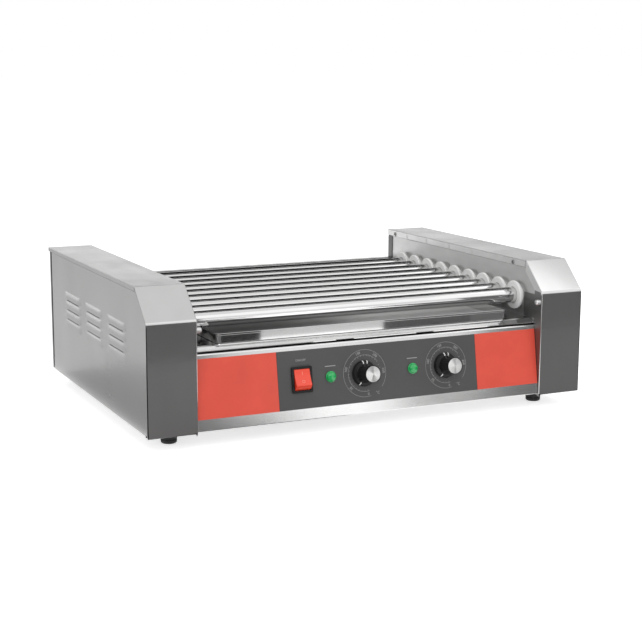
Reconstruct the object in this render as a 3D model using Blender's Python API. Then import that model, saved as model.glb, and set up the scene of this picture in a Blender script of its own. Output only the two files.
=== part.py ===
# Hot dog roller grill: nine heated rollers between two end housings, over a drip tray.
# Metres, +Z up. X runs left to right, -Y is the operator's side, Z = 0 is the table.

import math

import bmesh
import bpy
from mathutils import Vector

# Overall sizes
WIDTH = 0.580
DEPTH = 0.410
FOOT_HEIGHT = 0.019
HOUSING_HEIGHT = 0.166
HOUSING_WIDTH = 0.060
SLOPE_RUN = 0.038
SLOPE_DROP = 0.036

# Sheet metal and fits
SHEET = 0.001
PLATE = 0.0012
CLEARANCE = 0.0003
COVER_SEAM = 0.001
COVER_INNER_FLANGE = 0.009
COVER_OUTER_FLANGE = 0.005
CAP_INNER_FLANGE = 0.010
CAP_OUTER_FLANGE = 0.003
PAN_FLANGE = 0.015
REAR_RAIL_HEIGHT = 0.125
REAR_RAIL_FLANGE = 0.012

# Louvres pressed out of each side panel
LOUVRE_COLUMNS = 3
LOUVRE_ROWS = 4
LOUVRE_LENGTH = 0.072
LOUVRE_HEIGHT = 0.0105
LOUVRE_TAPER = 0.013
LOUVRE_PROUD = 0.0025
LOUVRE_SKIN = 0.0008
LOUVRE_COLUMN_PITCH = 0.0927
LOUVRE_ROW_PITCH = 0.0123
LOUVRE_OFFSET = 0.0025
LOUVRE_CENTRE_HEIGHT = 0.0943

# Rollers, their bushes and the heating rods inside them
ROLLER_COUNT = 9
ROLLER_PITCH = 0.0375
ROLLER_ROW_OFFSET = 0.001
ROLLER_ABOVE_DECK = 0.0252
ROLLER_RADIUS = 0.010
ROLLER_WALL = 0.0012
ROLLER_FREE_END = 0.0075
BUSH_COLLAR_RADIUS = 0.0180
BUSH_COLLAR_LENGTH = 0.0043
BUSH_SHOULDER_RADIUS = 0.0150
BUSH_SHOULDER_LENGTH = 0.0034
BUSH_NECK_RADIUS = 0.0127
BUSH_NECK_LENGTH = 0.0040
ROD_RADIUS = 0.004
ROD_OVERHANG = 0.006
BRACKET_HEIGHT = 0.024
BRACKET_STANDOFF = 0.003
BRACKET_REACH = 0.005

# Chain drive in the left housing
CHAIN_PITCH = 0.009525
CHAIN_PLANE = 0.0125
CHAIN_WIDTH = 0.0078
CHAIN_SLOT = 0.0054
CHAIN_TALL = 0.0038
CHAIN_WAIST = 0.0026
ROLLER_TEETH = 9
DRIVE_TEETH = 12
SPROCKET_WIDTH = 0.004
TOOTH_ABOVE_PITCH = 0.0019
TOOTH_BELOW_PITCH = 0.0030
TOOTH_CLEARANCE = 0.0005
TUBE_PAST_CHAIN = 0.007
MOTOR_OFFSET = 0.020
MOTOR_HEIGHT = 0.051
MOTOR_RADIUS = 0.030
MOTOR_CAN_RADIUS = 0.026
MOTOR_GEARBOX_LENGTH = 0.016
MOTOR_CAN_LENGTH = 0.036
DRIVE_SHAFT_RADIUS = 0.004
DRIVE_SHAFT_SEAT = 0.010

# Deck and drip tray
DECK_HEIGHT = 0.095
DECK_FRONT = 0.025
DECK_LIP_RUN = 0.009
DECK_LIP_DROP = 0.0045
DECK_FLANGE = 0.008
TRAY_FROM_SIDE = 0.033
TRAY_FRONT = 0.027
TRAY_BACK = 0.029
TRAY_HEIGHT = 0.0117
TRAY_CORNER = 0.007
TRAY_HEM = 0.0008
TRAY_HEM_HEIGHT = 0.0022

# Leaning front panel and what it carries, measured up the panel from its foot
PANEL_LEAN = math.radians(9.0)
PANEL_SETBACK = 0.0017
PANEL_BELOW_DECK = 0.0071
PANEL_TOP_FLANGE = 0.040
PLATE_BOTTOM = 0.0139
PLATE_TOP = 0.0832
FILM = 0.0006
CONTROL_LEFT = -0.1278
CONTROL_RIGHT = 0.1406
CONTROL_LINE = 0.0486
SWITCH_X = -0.0975
BEZEL_WIDTH = 0.0260
BEZEL_LENGTH = 0.0310
BEZEL_PROUD = 0.0020
SWITCH_BODY_WIDTH = 0.0216
SWITCH_BODY_LENGTH = 0.0296
SWITCH_BODY_DEPTH = 0.024
ROCKER_WIDTH = 0.0200
ROCKER_RADIUS = 0.0137
ROCKER_PIVOT_DEPTH = 0.00325
ROCKER_TILT = math.radians(16.0)
ROCKER_HORN = math.radians(45.0)
ROCKER_DISH = 0.0010
ROCKER_MOUTH = 0.0132
LAMP_X = (-0.0597, 0.0507)
LAMP_RADIUS = 0.0067
LAMP_RIM = 0.0018
LAMP_DOME = 0.0034
LAMP_NECK_RADIUS = 0.0050
LAMP_NECK_LENGTH = 0.024
KNOB_X = (-0.0160, 0.0960)
KNOB_SKIRT_RADIUS = 0.0155
KNOB_SKIRT_HEIGHT = 0.0050
KNOB_BODY_RADIUS = 0.0120
KNOB_TOP_RADIUS = 0.0108
KNOB_LENGTH = 0.0255
SPINDLE_RADIUS = 0.0030
SPINDLE_SEAT = 0.012
THERMOSTAT_WIDTH = 0.036
THERMOSTAT_LENGTH = 0.032
THERMOSTAT_DEPTH = 0.030

# Feet and the power cord's gland
FOOT_RADIUS = 0.0104
FOOT_BASE_RADIUS = 0.0094
FOOT_FROM_SIDE = 0.0395
FOOT_FROM_FRONT = 0.043
FOOT_FROM_BACK = 0.043
GLAND_X = -0.150
GLAND_HEIGHT = 0.036
GLAND_RADIUS = 0.011
GLAND_LIP = 0.002
GLAND_NECK_RADIUS = 0.008
GLAND_NECK_LENGTH = 0.012
GLAND_BORE_RADIUS = 0.004

ROUND_SIDES = 24
BUSH_SIDES = 18
ROD_SIDES = 10
CORNER_STEPS = 3
DOME_STEPS = 3
CUT_MARGIN = 0.002

# Places worked out from the sizes above
side_x = WIDTH / 2
control_z = CLEARANCE + FILM
seat_z = control_z + CLEARANCE
knob_lift = CONTROL_LINE - KNOB_TOP_RADIUS
knob_tip = (seat_z + KNOB_LENGTH) * math.cos(PANEL_LEAN) - knob_lift * math.sin(PANEL_LEAN)
gland_tip = CLEARANCE + GLAND_LIP
centre_y = (knob_tip - PANEL_SETBACK - gland_tip) / 2
front_y = centre_y - DEPTH / 2
back_y = centre_y + DEPTH / 2
base_z = FOOT_HEIGHT
top_z = FOOT_HEIGHT + HOUSING_HEIGHT
inner_x = side_x - HOUSING_WIDTH
skin = SHEET + CLEARANCE
bearing_x = inner_x + skin
bearing_back_x = bearing_x + PLATE
span_x = bearing_x - CLEARANCE
seam_y = front_y + SLOPE_RUN
slope_foot_z = top_z - SLOPE_DROP
slope_angle = math.atan2(SLOPE_DROP, SLOPE_RUN)
floor_top_z = base_z + PLATE
chain_x = bearing_back_x + CHAIN_PLANE
deck_z = base_z + DECK_HEIGHT
roller_z = deck_z + ROLLER_ABOVE_DECK
motor_z = base_z + MOTOR_HEIGHT
panel_foot_y = front_y + PANEL_SETBACK
panel_length = (DECK_HEIGHT - PANEL_BELOW_DECK) / math.cos(PANEL_LEAN)
motor_y = centre_y + MOTOR_OFFSET
bush_hole_radius = BUSH_NECK_RADIUS + CLEARANCE
bush_shoulder_x = span_x - BUSH_SHOULDER_LENGTH
bush_face_x = bush_shoulder_x - BUSH_COLLAR_LENGTH


def roller_y(index):
    middle = (ROLLER_COUNT - 1) / 2
    return centre_y + ROLLER_ROW_OFFSET + (index - middle) * ROLLER_PITCH


def pitch_radius(teeth):
    return CHAIN_PITCH / (2 * math.sin(math.pi / teeth))


def clear_scene():
    for obj in list(bpy.data.objects):
        bpy.data.objects.remove(obj, do_unlink=True)


def material(name, colour, roughness, metallic):
    made = bpy.data.materials.get(name)
    if made is None:
        made = bpy.data.materials.new(name)
        made.use_nodes = True
        shader = made.node_tree.nodes["Principled BSDF"]
        shader.inputs["Base Color"].default_value = (*colour, 1.0)
        shader.inputs["Roughness"].default_value = roughness
        shader.inputs["Metallic"].default_value = metallic
        made.diffuse_color = (*colour, 1.0)
    return made


def brushed_steel():
    return material("brushed_steel", (0.62, 0.62, 0.61), 0.32, 1.0)


def polished_steel():
    return material("polished_steel", (0.72, 0.72, 0.71), 0.10, 1.0)


def dull_steel():
    return material("dull_steel", (0.36, 0.36, 0.36), 0.45, 1.0)


def white_plastic():
    return material("white_plastic", (0.82, 0.82, 0.80), 0.45, 0.0)


def red_film():
    return material("red_film", (0.72, 0.10, 0.06), 0.40, 0.0)


def dark_film():
    return material("dark_film", (0.07, 0.07, 0.07), 0.45, 0.0)


def red_plastic():
    return material("red_plastic", (0.75, 0.05, 0.03), 0.30, 0.0)


def green_lens():
    return material("green_lens", (0.03, 0.45, 0.12), 0.15, 0.0)


def black_plastic():
    return material("black_plastic", (0.02, 0.02, 0.02), 0.35, 0.0)


def black_rubber():
    return material("black_rubber", (0.03, 0.03, 0.03), 0.70, 0.0)


def node(name, bm, finish, parent=None, location=(0, 0, 0)):
    bmesh.ops.recalc_face_normals(bm, faces=bm.faces[:])
    mesh = bpy.data.meshes.new(name)
    bm.to_mesh(mesh)
    bm.free()
    mesh.shade_smooth()
    mesh.set_sharp_from_angle(angle=math.radians(35))
    mesh.materials.append(finish)
    obj = bpy.data.objects.new(name, mesh)
    bpy.context.scene.collection.objects.link(obj)
    obj.parent = parent
    obj.location = location
    return obj


def helper(name, bm, parent=None, location=(0, 0, 0)):
    bmesh.ops.recalc_face_normals(bm, faces=bm.faces[:])
    mesh = bpy.data.meshes.new(name)
    bm.to_mesh(mesh)
    bm.free()
    obj = bpy.data.objects.new(name, mesh)
    bpy.context.scene.collection.objects.link(obj)
    obj.parent = parent
    obj.location = location
    obj.hide_render = True
    obj.display_type = "WIRE"
    return obj


def combine(obj, other, operation):
    modifier = obj.modifiers.new(operation.lower(), "BOOLEAN")
    modifier.operation = operation
    modifier.solver = "EXACT"
    modifier.object = other


def empty(name, location, rotation=(0, 0, 0), parent=None):
    obj = bpy.data.objects.new(name, None)
    bpy.context.scene.collection.objects.link(obj)
    obj.parent = parent
    obj.location = location
    obj.rotation_euler = rotation
    return obj


def add_loft(bm, rings, closed=False):
    # Bridges rings of points that have equal counts, and caps the two ends unless the run is closed.
    made = [[bm.verts.new(point) for point in ring] for ring in rings]
    pairs = list(zip(made, made[1:]))
    if closed:
        pairs.append((made[-1], made[0]))
    for low, high in pairs:
        for i in range(len(low)):
            j = (i + 1) % len(low)
            bm.faces.new((low[i], low[j], high[j], high[i]))
    if not closed:
        bm.faces.new(reversed(made[0]))
        bm.faces.new(made[-1])


def add_box(bm, low, high):
    (x0, y0, z0), (x1, y1, z1) = low, high
    corners = ((x0, y0), (x1, y0), (x1, y1), (x0, y1))
    add_loft(bm, [[(x, y, z) for x, y in corners] for z in (z0, z1)])


def add_prism(bm, outline, x0, x1):
    # An outline of (y, z) points, extruded along X.
    add_loft(bm, [[(x, y, z) for y, z in outline] for x in (x0, x1)])


def circle(radius, sides, turn=0.0):
    steps = [turn + 2 * math.pi * i / sides for i in range(sides)]
    return [(radius * math.cos(a), radius * math.sin(a)) for a in steps]


def add_tube_along_x(bm, x0, x1, radius, sides, y=0.0, z=0.0):
    add_loft(bm, [[(x, y + p, z + q) for p, q in circle(radius, sides)] for x in (x0, x1)])


def add_turned(bm, profile, sides, closed=False):
    # A profile of (radius, z) points, turned about Z.
    add_loft(bm, [[(p, q, z) for p, q in circle(r, sides)] for r, z in profile], closed)


def along(bm, axis):
    # Turns a shape made along Z so that it lies along the given axis.
    turn = Vector((0, 0, 1)).rotation_difference(Vector(axis)).to_matrix()
    bmesh.ops.rotate(bm, verts=bm.verts[:], cent=(0, 0, 0), matrix=turn)


def mirror_to_side(bm, side):
    bmesh.ops.scale(bm, verts=bm.verts[:], vec=(side, 1, 1))


def slope_point(y, inset):
    # Height of the sloped face at y, moved in by the inset square to the slope.
    return slope_foot_z + (y - front_y) * SLOPE_DROP / SLOPE_RUN - inset / math.cos(slope_angle)


def bend_point(inset):
    # Where the front face and the slope meet, with both moved in by the inset.
    y = front_y + inset
    return y, slope_point(y, inset)


def ridge_point(inset):
    # Where the slope and the flat top meet, with both moved in by the inset.
    z = top_z - inset
    y = front_y + (z - slope_foot_z + inset / math.cos(slope_angle)) * SLOPE_RUN / SLOPE_DROP
    return y, z


def housing_outline(inset, bottom_z):
    bend = bend_point(inset)
    ridge = ridge_point(inset)
    back = back_y - inset
    return ((back, bottom_z), (bend[0], bottom_z), bend, ridge, (back, top_z - inset))


def channel_section(inner_flange, outer_flange):
    # A folded channel as (x, depth below the outer surface) points, inner edge first.
    near, far = inner_x, side_x
    return (
        (near, 0),
        (far, 0),
        (far, outer_flange),
        (far - SHEET, outer_flange),
        (far - SHEET, SHEET),
        (near + SHEET, SHEET),
        (near + SHEET, inner_flange),
        (near, inner_flange),
    )


def make_top_cover(name, side):
    section = channel_section(COVER_INNER_FLANGE, COVER_OUTER_FLANGE)
    start = seam_y + COVER_SEAM
    bm = bmesh.new()
    add_loft(bm, [[(x, y, top_z - depth) for x, depth in section] for y in (start, back_y)])
    mirror_to_side(bm, side)
    return node(name, bm, brushed_steel())


def make_front_cap(name, side):
    section = channel_section(CAP_INNER_FLANGE, CAP_OUTER_FLANGE)
    foot = [(x, front_y + depth, base_z) for x, depth in section]
    bend = [(x, *bend_point(depth)) for x, depth in section]
    crest = [(x, seam_y, slope_point(seam_y, depth)) for x, depth in section]
    bm = bmesh.new()
    add_loft(bm, [foot, bend, crest])
    mirror_to_side(bm, side)
    return node(name, bm, brushed_steel())


def add_louvre(bm, y, z, face_x):
    # A hipped hood that is highest along its lower edge.
    half = LOUVRE_LENGTH / 2
    ridge = half - LOUVRE_TAPER
    top = z + LOUVRE_HEIGHT / 2
    low = z - LOUVRE_HEIGHT / 2
    root = face_x - SHEET / 2
    base = [(root, y - half, top), (root, y + half, top), (root, y + half, low), (root, y - half, low)]
    crest = [(face_x, y - half, top), (face_x, y + half, top)]
    crest += [(face_x + LOUVRE_PROUD, y + ridge, low), (face_x + LOUVRE_PROUD, y - ridge, low)]
    points = [bm.verts.new(p) for p in base + crest]
    ends = [bm.verts.new((face_x, y + half, low)), bm.verts.new((face_x, y - half, low))]
    b0, b1, b2, b3, c0, c1, c2, c3 = points
    bm.faces.new((b0, b1, b2, b3))
    bm.faces.new((c0, c3, c2, c1))
    bm.faces.new((b0, c0, c1, b1))
    bm.faces.new((b1, c1, ends[0], b2))
    bm.faces.new((c1, c2, ends[0]))
    bm.faces.new((b3, ends[1], c0, b0))
    bm.faces.new((c0, ends[1], c3))
    bm.faces.new((b2, ends[0], c2, c3, ends[1], b3))


def add_louvre_slot(bm, y, z, face_x):
    # The wedge of air under one hood, open downwards and through the panel.
    half = LOUVRE_LENGTH / 2 - LOUVRE_TAPER
    top = z + LOUVRE_HEIGHT / 2 - 2 * LOUVRE_SKIN
    low = z - LOUVRE_HEIGHT / 2 - LOUVRE_SKIN
    back = face_x - SHEET - CUT_MARGIN
    front = face_x + LOUVRE_PROUD - LOUVRE_SKIN
    outline = ((back, top), (back, low), (front, low))
    add_loft(bm, [[(x, end, q) for x, q in outline] for end in (y - half, y + half)])


def louvre_places():
    for column in range(LOUVRE_COLUMNS):
        y = centre_y + LOUVRE_OFFSET + (column - (LOUVRE_COLUMNS - 1) / 2) * LOUVRE_COLUMN_PITCH
        for row in range(LOUVRE_ROWS):
            step = row - (LOUVRE_ROWS - 1) / 2
            yield y, base_z + LOUVRE_CENTRE_HEIGHT + step * LOUVRE_ROW_PITCH


def make_side_panel(name, side):
    face_x = side_x - skin
    bm = bmesh.new()
    add_prism(bm, housing_outline(skin, base_z), face_x - SHEET, face_x)
    mirror_to_side(bm, side)
    panel = node(name, bm, brushed_steel())
    hoods = bmesh.new()
    slots = bmesh.new()
    for y, z in louvre_places():
        add_louvre(hoods, y, z, face_x)
        add_louvre_slot(slots, y, z, face_x)
    mirror_to_side(hoods, side)
    mirror_to_side(slots, side)
    combine(panel, helper(name + "_hoods", hoods), "UNION")
    combine(panel, helper(name + "_slots", slots), "DIFFERENCE")
    return panel


def make_bearing_plate(name, side):
    bm = bmesh.new()
    add_prism(bm, housing_outline(skin, floor_top_z + CLEARANCE), bearing_x, bearing_back_x)
    mirror_to_side(bm, side)
    plate = node(name, bm, brushed_steel())
    holes = bmesh.new()
    ends = (bearing_x - CUT_MARGIN, bearing_back_x + CUT_MARGIN)
    for index in range(ROLLER_COUNT):
        add_tube_along_x(holes, *ends, bush_hole_radius, BUSH_SIDES, roller_y(index), roller_z)
    if side < 0:
        shaft_hole = DRIVE_SHAFT_RADIUS + 2 * CLEARANCE
        add_tube_along_x(holes, *ends, shaft_hole, BUSH_SIDES, motor_y, motor_z)
    mirror_to_side(holes, side)
    combine(plate, helper(name + "_holes", holes), "DIFFERENCE")
    return plate


def make_base_pan():
    half = side_x - skin - SHEET - CLEARANCE
    low, high = base_z, base_z + PAN_FLANGE
    section = (
        (-half, low),
        (half, low),
        (half, high),
        (half - PLATE, high),
        (half - PLATE, floor_top_z),
        (PLATE - half, floor_top_z),
        (PLATE - half, high),
        (-half, high),
    )
    ends = (front_y + CAP_INNER_FLANGE + CLEARANCE, back_y - skin)
    bm = bmesh.new()
    add_loft(bm, [[(x, y, z) for x, z in section] for y in ends])
    pan = node("base_pan", bm, brushed_steel())
    tabs = bmesh.new()
    for side in (-1, 1):
        reach = sorted((side * bearing_x, side * (half - PLATE)))
        add_box(tabs, (reach[0], front_y + skin, low), (reach[1], ends[0] + SHEET, floor_top_z))
    combine(pan, helper("base_pan_tabs", tabs), "UNION")
    return pan


def make_rear_panel():
    outer = side_x - skin
    rail_z = base_z + REAR_RAIL_HEIGHT
    high = top_z - skin
    outline = (
        (-outer, base_z),
        (outer, base_z),
        (outer, high),
        (bearing_x, high),
        (bearing_x, rail_z),
        (-bearing_x, rail_z),
        (-bearing_x, high),
        (-outer, high),
    )
    bm = bmesh.new()
    add_loft(bm, [[(x, y, z) for x, z in outline] for y in (back_y - SHEET, back_y)])
    panel = node("rear_panel", bm, brushed_steel())
    rail = bmesh.new()
    rail_front = back_y - REAR_RAIL_FLANGE
    add_box(rail, (-span_x, rail_front, rail_z - SHEET), (span_x, back_y - SHEET / 2, rail_z))
    combine(panel, helper("rear_panel_rail", rail), "UNION")
    hole = bmesh.new()
    reach = SHEET + CUT_MARGIN
    hole_radius = GLAND_NECK_RADIUS + CLEARANCE
    add_turned(hole, [(hole_radius, -reach), (hole_radius, reach)], BUSH_SIDES)
    along(hole, (0, 1, 0))
    place = (GLAND_X, back_y - SHEET / 2, base_z + GLAND_HEIGHT)
    combine(panel, helper("rear_panel_hole", hole, location=place), "DIFFERENCE")
    return panel


def make_cable_gland():
    lip = CLEARANCE
    bm = bmesh.new()
    profile = [
        (GLAND_BORE_RADIUS, lip + GLAND_LIP),
        (GLAND_RADIUS, lip + GLAND_LIP),
        (GLAND_RADIUS, lip),
        (GLAND_NECK_RADIUS, lip),
        (GLAND_NECK_RADIUS, -GLAND_NECK_LENGTH),
        (GLAND_BORE_RADIUS, -GLAND_NECK_LENGTH),
    ]
    add_turned(bm, profile, BUSH_SIDES, closed=True)
    along(bm, (0, 1, 0))
    return node("cable_gland", bm, black_plastic(), location=(GLAND_X, back_y, base_z + GLAND_HEIGHT))


def make_deck():
    bend_y = front_y + DECK_FRONT
    lip = math.atan2(DECK_LIP_DROP, DECK_LIP_RUN)
    section = (
        (-span_x, 0),
        (span_x, 0),
        (span_x, DECK_FLANGE),
        (span_x - SHEET, DECK_FLANGE),
        (span_x - SHEET, SHEET),
        (SHEET - span_x, SHEET),
        (SHEET - span_x, DECK_FLANGE),
        (-span_x, DECK_FLANGE),
    )
    rear = [(x, back_y - skin, deck_z - depth) for x, depth in section]
    bend = [(x, bend_y + depth * math.tan(lip / 2), deck_z - depth) for x, depth in section]
    front_edge = (bend_y - DECK_LIP_RUN, deck_z - DECK_LIP_DROP)
    front = []
    for x, depth in section:
        front.append((x, front_edge[0] + depth * math.sin(lip), front_edge[1] - depth * math.cos(lip)))
    bm = bmesh.new()
    add_loft(bm, [rear, bend, front])
    return node("deck_plate", bm, brushed_steel())


def rounded_rectangle(half_x, y0, y1, radius, z):
    points = []
    corners = ((half_x, y1, 0), (-half_x, y1, 1), (-half_x, y0, 2), (half_x, y0, 3))
    for x, y, quarter in corners:
        centre_x = x - math.copysign(radius, x)
        centre_y = y - radius if quarter < 2 else y + radius
        for step in range(CORNER_STEPS + 1):
            a = (quarter + step / CORNER_STEPS) * math.pi / 2
            points.append((centre_x + radius * math.cos(a), centre_y + radius * math.sin(a), z))
    return points


def make_drip_tray():
    half = inner_x - TRAY_FROM_SIDE
    near = front_y + TRAY_FRONT
    far = back_y - TRAY_BACK
    low = deck_z + CLEARANCE
    high = low + TRAY_HEIGHT
    hem_z = high - TRAY_HEM_HEIGHT
    bm = bmesh.new()
    rings = []
    walls = ((TRAY_HEM, low), (TRAY_HEM, hem_z), (0, hem_z), (0, high), (TRAY_HEM + SHEET, high))
    for inset, z in (*walls, (TRAY_HEM + SHEET, low + SHEET)):
        corner = TRAY_CORNER - inset
        rings.append(rounded_rectangle(half - inset, near + inset, far - inset, corner, z))
    add_loft(bm, rings)
    return node("drip_tray", bm, polished_steel())


def sprocket_ring(teeth, count):
    # One ring of points round a sprocket, a root and two tip corners for each tooth.
    root = pitch_radius(teeth) - TOOTH_BELOW_PITCH
    tip = pitch_radius(teeth) + TOOTH_ABOVE_PITCH
    per_tooth = count // teeth
    return [tip if i % per_tooth else root for i in range(count)]


def ring_at(x, radii):
    step = 2 * math.pi / len(radii)
    return [(x, r * math.cos(i * step), r * math.sin(i * step)) for i, r in enumerate(radii)]


def make_roller(number):
    sides = 3 * ROLLER_TEETH
    outer = [ROLLER_RADIUS] * sides
    bore = [ROLLER_RADIUS - ROLLER_WALL] * sides
    teeth = sprocket_ring(ROLLER_TEETH, sides)
    left = -chain_x - TUBE_PAST_CHAIN
    right = bearing_back_x + ROLLER_FREE_END
    low = -chain_x - SPROCKET_WIDTH / 2
    high = -chain_x + SPROCKET_WIDTH / 2
    rings = [ring_at(left, outer), ring_at(low, outer), ring_at(low, teeth), ring_at(high, teeth)]
    rings += [ring_at(high, outer), ring_at(right, outer), ring_at(right, bore), ring_at(left, bore)]
    bm = bmesh.new()
    add_loft(bm, rings, closed=True)
    axis = empty(f"roller_{number}_axis", (0, roller_y(number - 1), roller_z))
    return node(f"roller_{number}", bm, polished_steel(), axis)


def make_bush(name, number, side):
    # Turned about the roller's axis: a collar on the food side, a shoulder that seats against
    # the plate, and a neck through it.
    bore = ROLLER_RADIUS + CLEARANCE
    neck_end = bearing_back_x + BUSH_NECK_LENGTH
    profile = [
        (bore, bush_face_x),
        (BUSH_COLLAR_RADIUS, bush_face_x),
        (BUSH_COLLAR_RADIUS, bush_shoulder_x),
        (BUSH_SHOULDER_RADIUS, bush_shoulder_x),
        (BUSH_SHOULDER_RADIUS, span_x),
        (BUSH_NECK_RADIUS, span_x),
        (BUSH_NECK_RADIUS, neck_end),
        (bore, neck_end),
    ]
    bm = bmesh.new()
    add_turned(bm, profile, BUSH_SIDES, closed=True)
    along(bm, (1, 0, 0))
    mirror_to_side(bm, side)
    return node(name, bm, white_plastic(), location=(0, roller_y(number - 1), roller_z))


def add_bracket(bm, plate_x, seat_x, y0, y1):
    # A flat bar that stands off the bearing plate on a folded leg at each end.
    low = roller_z - BRACKET_HEIGHT / 2
    high = roller_z + BRACKET_HEIGHT / 2
    inner_plate_x = plate_x - math.copysign(PLATE, plate_x)
    outline = (
        (seat_x, y0),
        (plate_x, y0),
        (plate_x, y1),
        (seat_x, y1),
        (seat_x, y1 - PLATE),
        (inner_plate_x, y1 - PLATE),
        (inner_plate_x, y0 + PLATE),
        (seat_x, y0 + PLATE),
    )
    add_loft(bm, [[(x, y, z) for x, y in outline] for z in (low, high)])


def make_heater_bank():
    chain_reach = pitch_radius(ROLLER_TEETH) + CHAIN_TALL + BRACKET_REACH
    y0 = roller_y(0) - chain_reach
    y1 = roller_y(ROLLER_COUNT - 1) + chain_reach
    seat = bearing_back_x + CLEARANCE
    left_bar = -chain_x - TUBE_PAST_CHAIN - BRACKET_STANDOFF - PLATE
    right_bar = bearing_back_x + ROLLER_FREE_END + BRACKET_STANDOFF + PLATE
    bm = bmesh.new()
    add_bracket(bm, left_bar, -seat, y0, y1)
    add_bracket(bm, right_bar, seat, y0, y1)
    bank = node("heater_bank", bm, dull_steel())
    rods = bmesh.new()
    ends = (left_bar - ROD_OVERHANG, right_bar + ROD_OVERHANG)
    for index in range(ROLLER_COUNT):
        add_tube_along_x(rods, *ends, ROD_RADIUS, ROD_SIDES, roller_y(index), roller_z)
    combine(bank, helper("heater_bank_rods", rods), "UNION")
    return bank


def outer_tangent(start, start_radius, end, end_radius):
    # The side of travel where a chain lies when both wheels are to the left of its run.
    run = Vector(end) - Vector(start)
    lean = math.asin((start_radius - end_radius) / run.length)
    return math.atan2(run.y, run.x) - math.pi / 2 + lean


def chain_path():
    # Points along the pitch line as (y, z, normal angle), spaced at half a link.
    small = pitch_radius(ROLLER_TEETH)
    wheels = [
        ((roller_y(ROLLER_COUNT - 1), roller_z), small),
        ((roller_y(0), roller_z), small),
        ((motor_y, motor_z), pitch_radius(DRIVE_TEETH)),
    ]
    runs = []
    for (start, r0), (end, r1) in zip(wheels, wheels[1:] + wheels[:1]):
        runs.append(outer_tangent(start, r0, end, r1))
    path = []
    for i, (centre, radius) in enumerate(wheels):
        arrive, leave = runs[i - 1], runs[i]
        turn = (leave - arrive) % (2 * math.pi)
        steps = max(2, round(radius * turn / (CHAIN_PITCH / 2)))
        for step in range(steps + 1):
            a = arrive + turn * step / steps
            path.append((centre[0] + radius * math.cos(a), centre[1] + radius * math.sin(a), a))
        after, after_radius = wheels[(i + 1) % len(wheels)]
        here = Vector(path[-1][:2])
        there = Vector(after) + after_radius * Vector((math.cos(leave), math.sin(leave)))
        count = max(2, round((there - here).length / (CHAIN_PITCH / 2)))
        for step in range(1, count):
            point = here.lerp(there, step / count)
            path.append((point.x, point.y, leave))
    return path


def make_drive_chain():
    half = CHAIN_WIDTH / 2
    rings = []
    for i, (y, z, a) in enumerate(chain_path()):
        tall = CHAIN_WAIST if i % 2 else CHAIN_TALL
        across = Vector((math.cos(a), math.sin(a))) * tall
        corners = ((-half, 1), (half, 1), (half, -1), (-half, -1))
        rings.append([(-chain_x + x, y + s * across.x, z + s * across.y) for x, s in corners])
    bm = bmesh.new()
    add_loft(bm, rings, closed=True)
    chain = node("drive_chain", bm, dull_steel())
    slots = bmesh.new()
    ends = (-chain_x - CHAIN_SLOT / 2, -chain_x + CHAIN_SLOT / 2)
    small = pitch_radius(ROLLER_TEETH) + TOOTH_ABOVE_PITCH + TOOTH_CLEARANCE
    large = pitch_radius(DRIVE_TEETH) + TOOTH_ABOVE_PITCH + TOOTH_CLEARANCE
    for index in range(ROLLER_COUNT):
        add_tube_along_x(slots, *ends, small, ROUND_SIDES, roller_y(index), roller_z)
    add_tube_along_x(slots, *ends, large, ROUND_SIDES, motor_y, motor_z)
    combine(chain, helper("drive_chain_slots", slots), "DIFFERENCE")
    return chain


def make_gear_motor():
    face = -span_x
    bore = DRIVE_SHAFT_RADIUS + CLEARANCE
    end = MOTOR_GEARBOX_LENGTH + MOTOR_CAN_LENGTH
    profile = [
        (bore, DRIVE_SHAFT_SEAT + CLEARANCE),
        (bore, 0),
        (MOTOR_RADIUS, 0),
        (MOTOR_RADIUS, MOTOR_GEARBOX_LENGTH),
        (MOTOR_CAN_RADIUS, MOTOR_GEARBOX_LENGTH),
        (MOTOR_CAN_RADIUS, end),
    ]
    bm = bmesh.new()
    add_turned(bm, profile, ROUND_SIDES)
    along(bm, (1, 0, 0))
    return node("gear_motor", bm, dull_steel(), location=(face, motor_y, motor_z))


def make_drive_sprocket():
    sides = 3 * DRIVE_TEETH
    shaft = [DRIVE_SHAFT_RADIUS] * sides
    teeth = sprocket_ring(DRIVE_TEETH, sides)
    low = -chain_x - SPROCKET_WIDTH / 2
    high = -chain_x + SPROCKET_WIDTH / 2
    left = -chain_x - TUBE_PAST_CHAIN
    right = -span_x + DRIVE_SHAFT_SEAT
    rings = [ring_at(left, shaft), ring_at(low, shaft), ring_at(low, teeth), ring_at(high, teeth)]
    rings += [ring_at(high, shaft), ring_at(right, shaft)]
    bm = bmesh.new()
    add_loft(bm, rings)
    axis = empty("drive_axis", (0, motor_y, motor_z))
    return node("drive_sprocket", bm, dull_steel(), axis)


def make_panel_frame():
    # Local X is to the right, local Y runs up the leaning panel and local Z points out of it.
    return empty("panel_frame", (0, panel_foot_y, base_z), (math.pi / 2 - PANEL_LEAN, 0, 0))


def panel_outline():
    # The bent sheet in side view, as (y, z) points.
    rise = Vector((math.sin(PANEL_LEAN), math.cos(PANEL_LEAN)))
    inward = Vector((math.cos(PANEL_LEAN), -math.sin(PANEL_LEAN)))
    foot = Vector((panel_foot_y, base_z))
    crest = foot + panel_length * rise
    back = front_y + CAP_INNER_FLANGE
    inner_foot = foot + inward * SHEET
    foot_bend = inner_foot + rise * (base_z + SHEET - inner_foot.y) / rise.y
    crest_bend = inner_foot + rise * (crest.y - SHEET - inner_foot.y) / rise.y
    tail = crest.x + PANEL_TOP_FLANGE
    return (
        (back, base_z),
        tuple(foot),
        tuple(crest),
        (tail, crest.y),
        (tail, crest.y - SHEET),
        tuple(crest_bend),
        tuple(foot_bend),
        (back, base_z + SHEET),
    )


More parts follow.
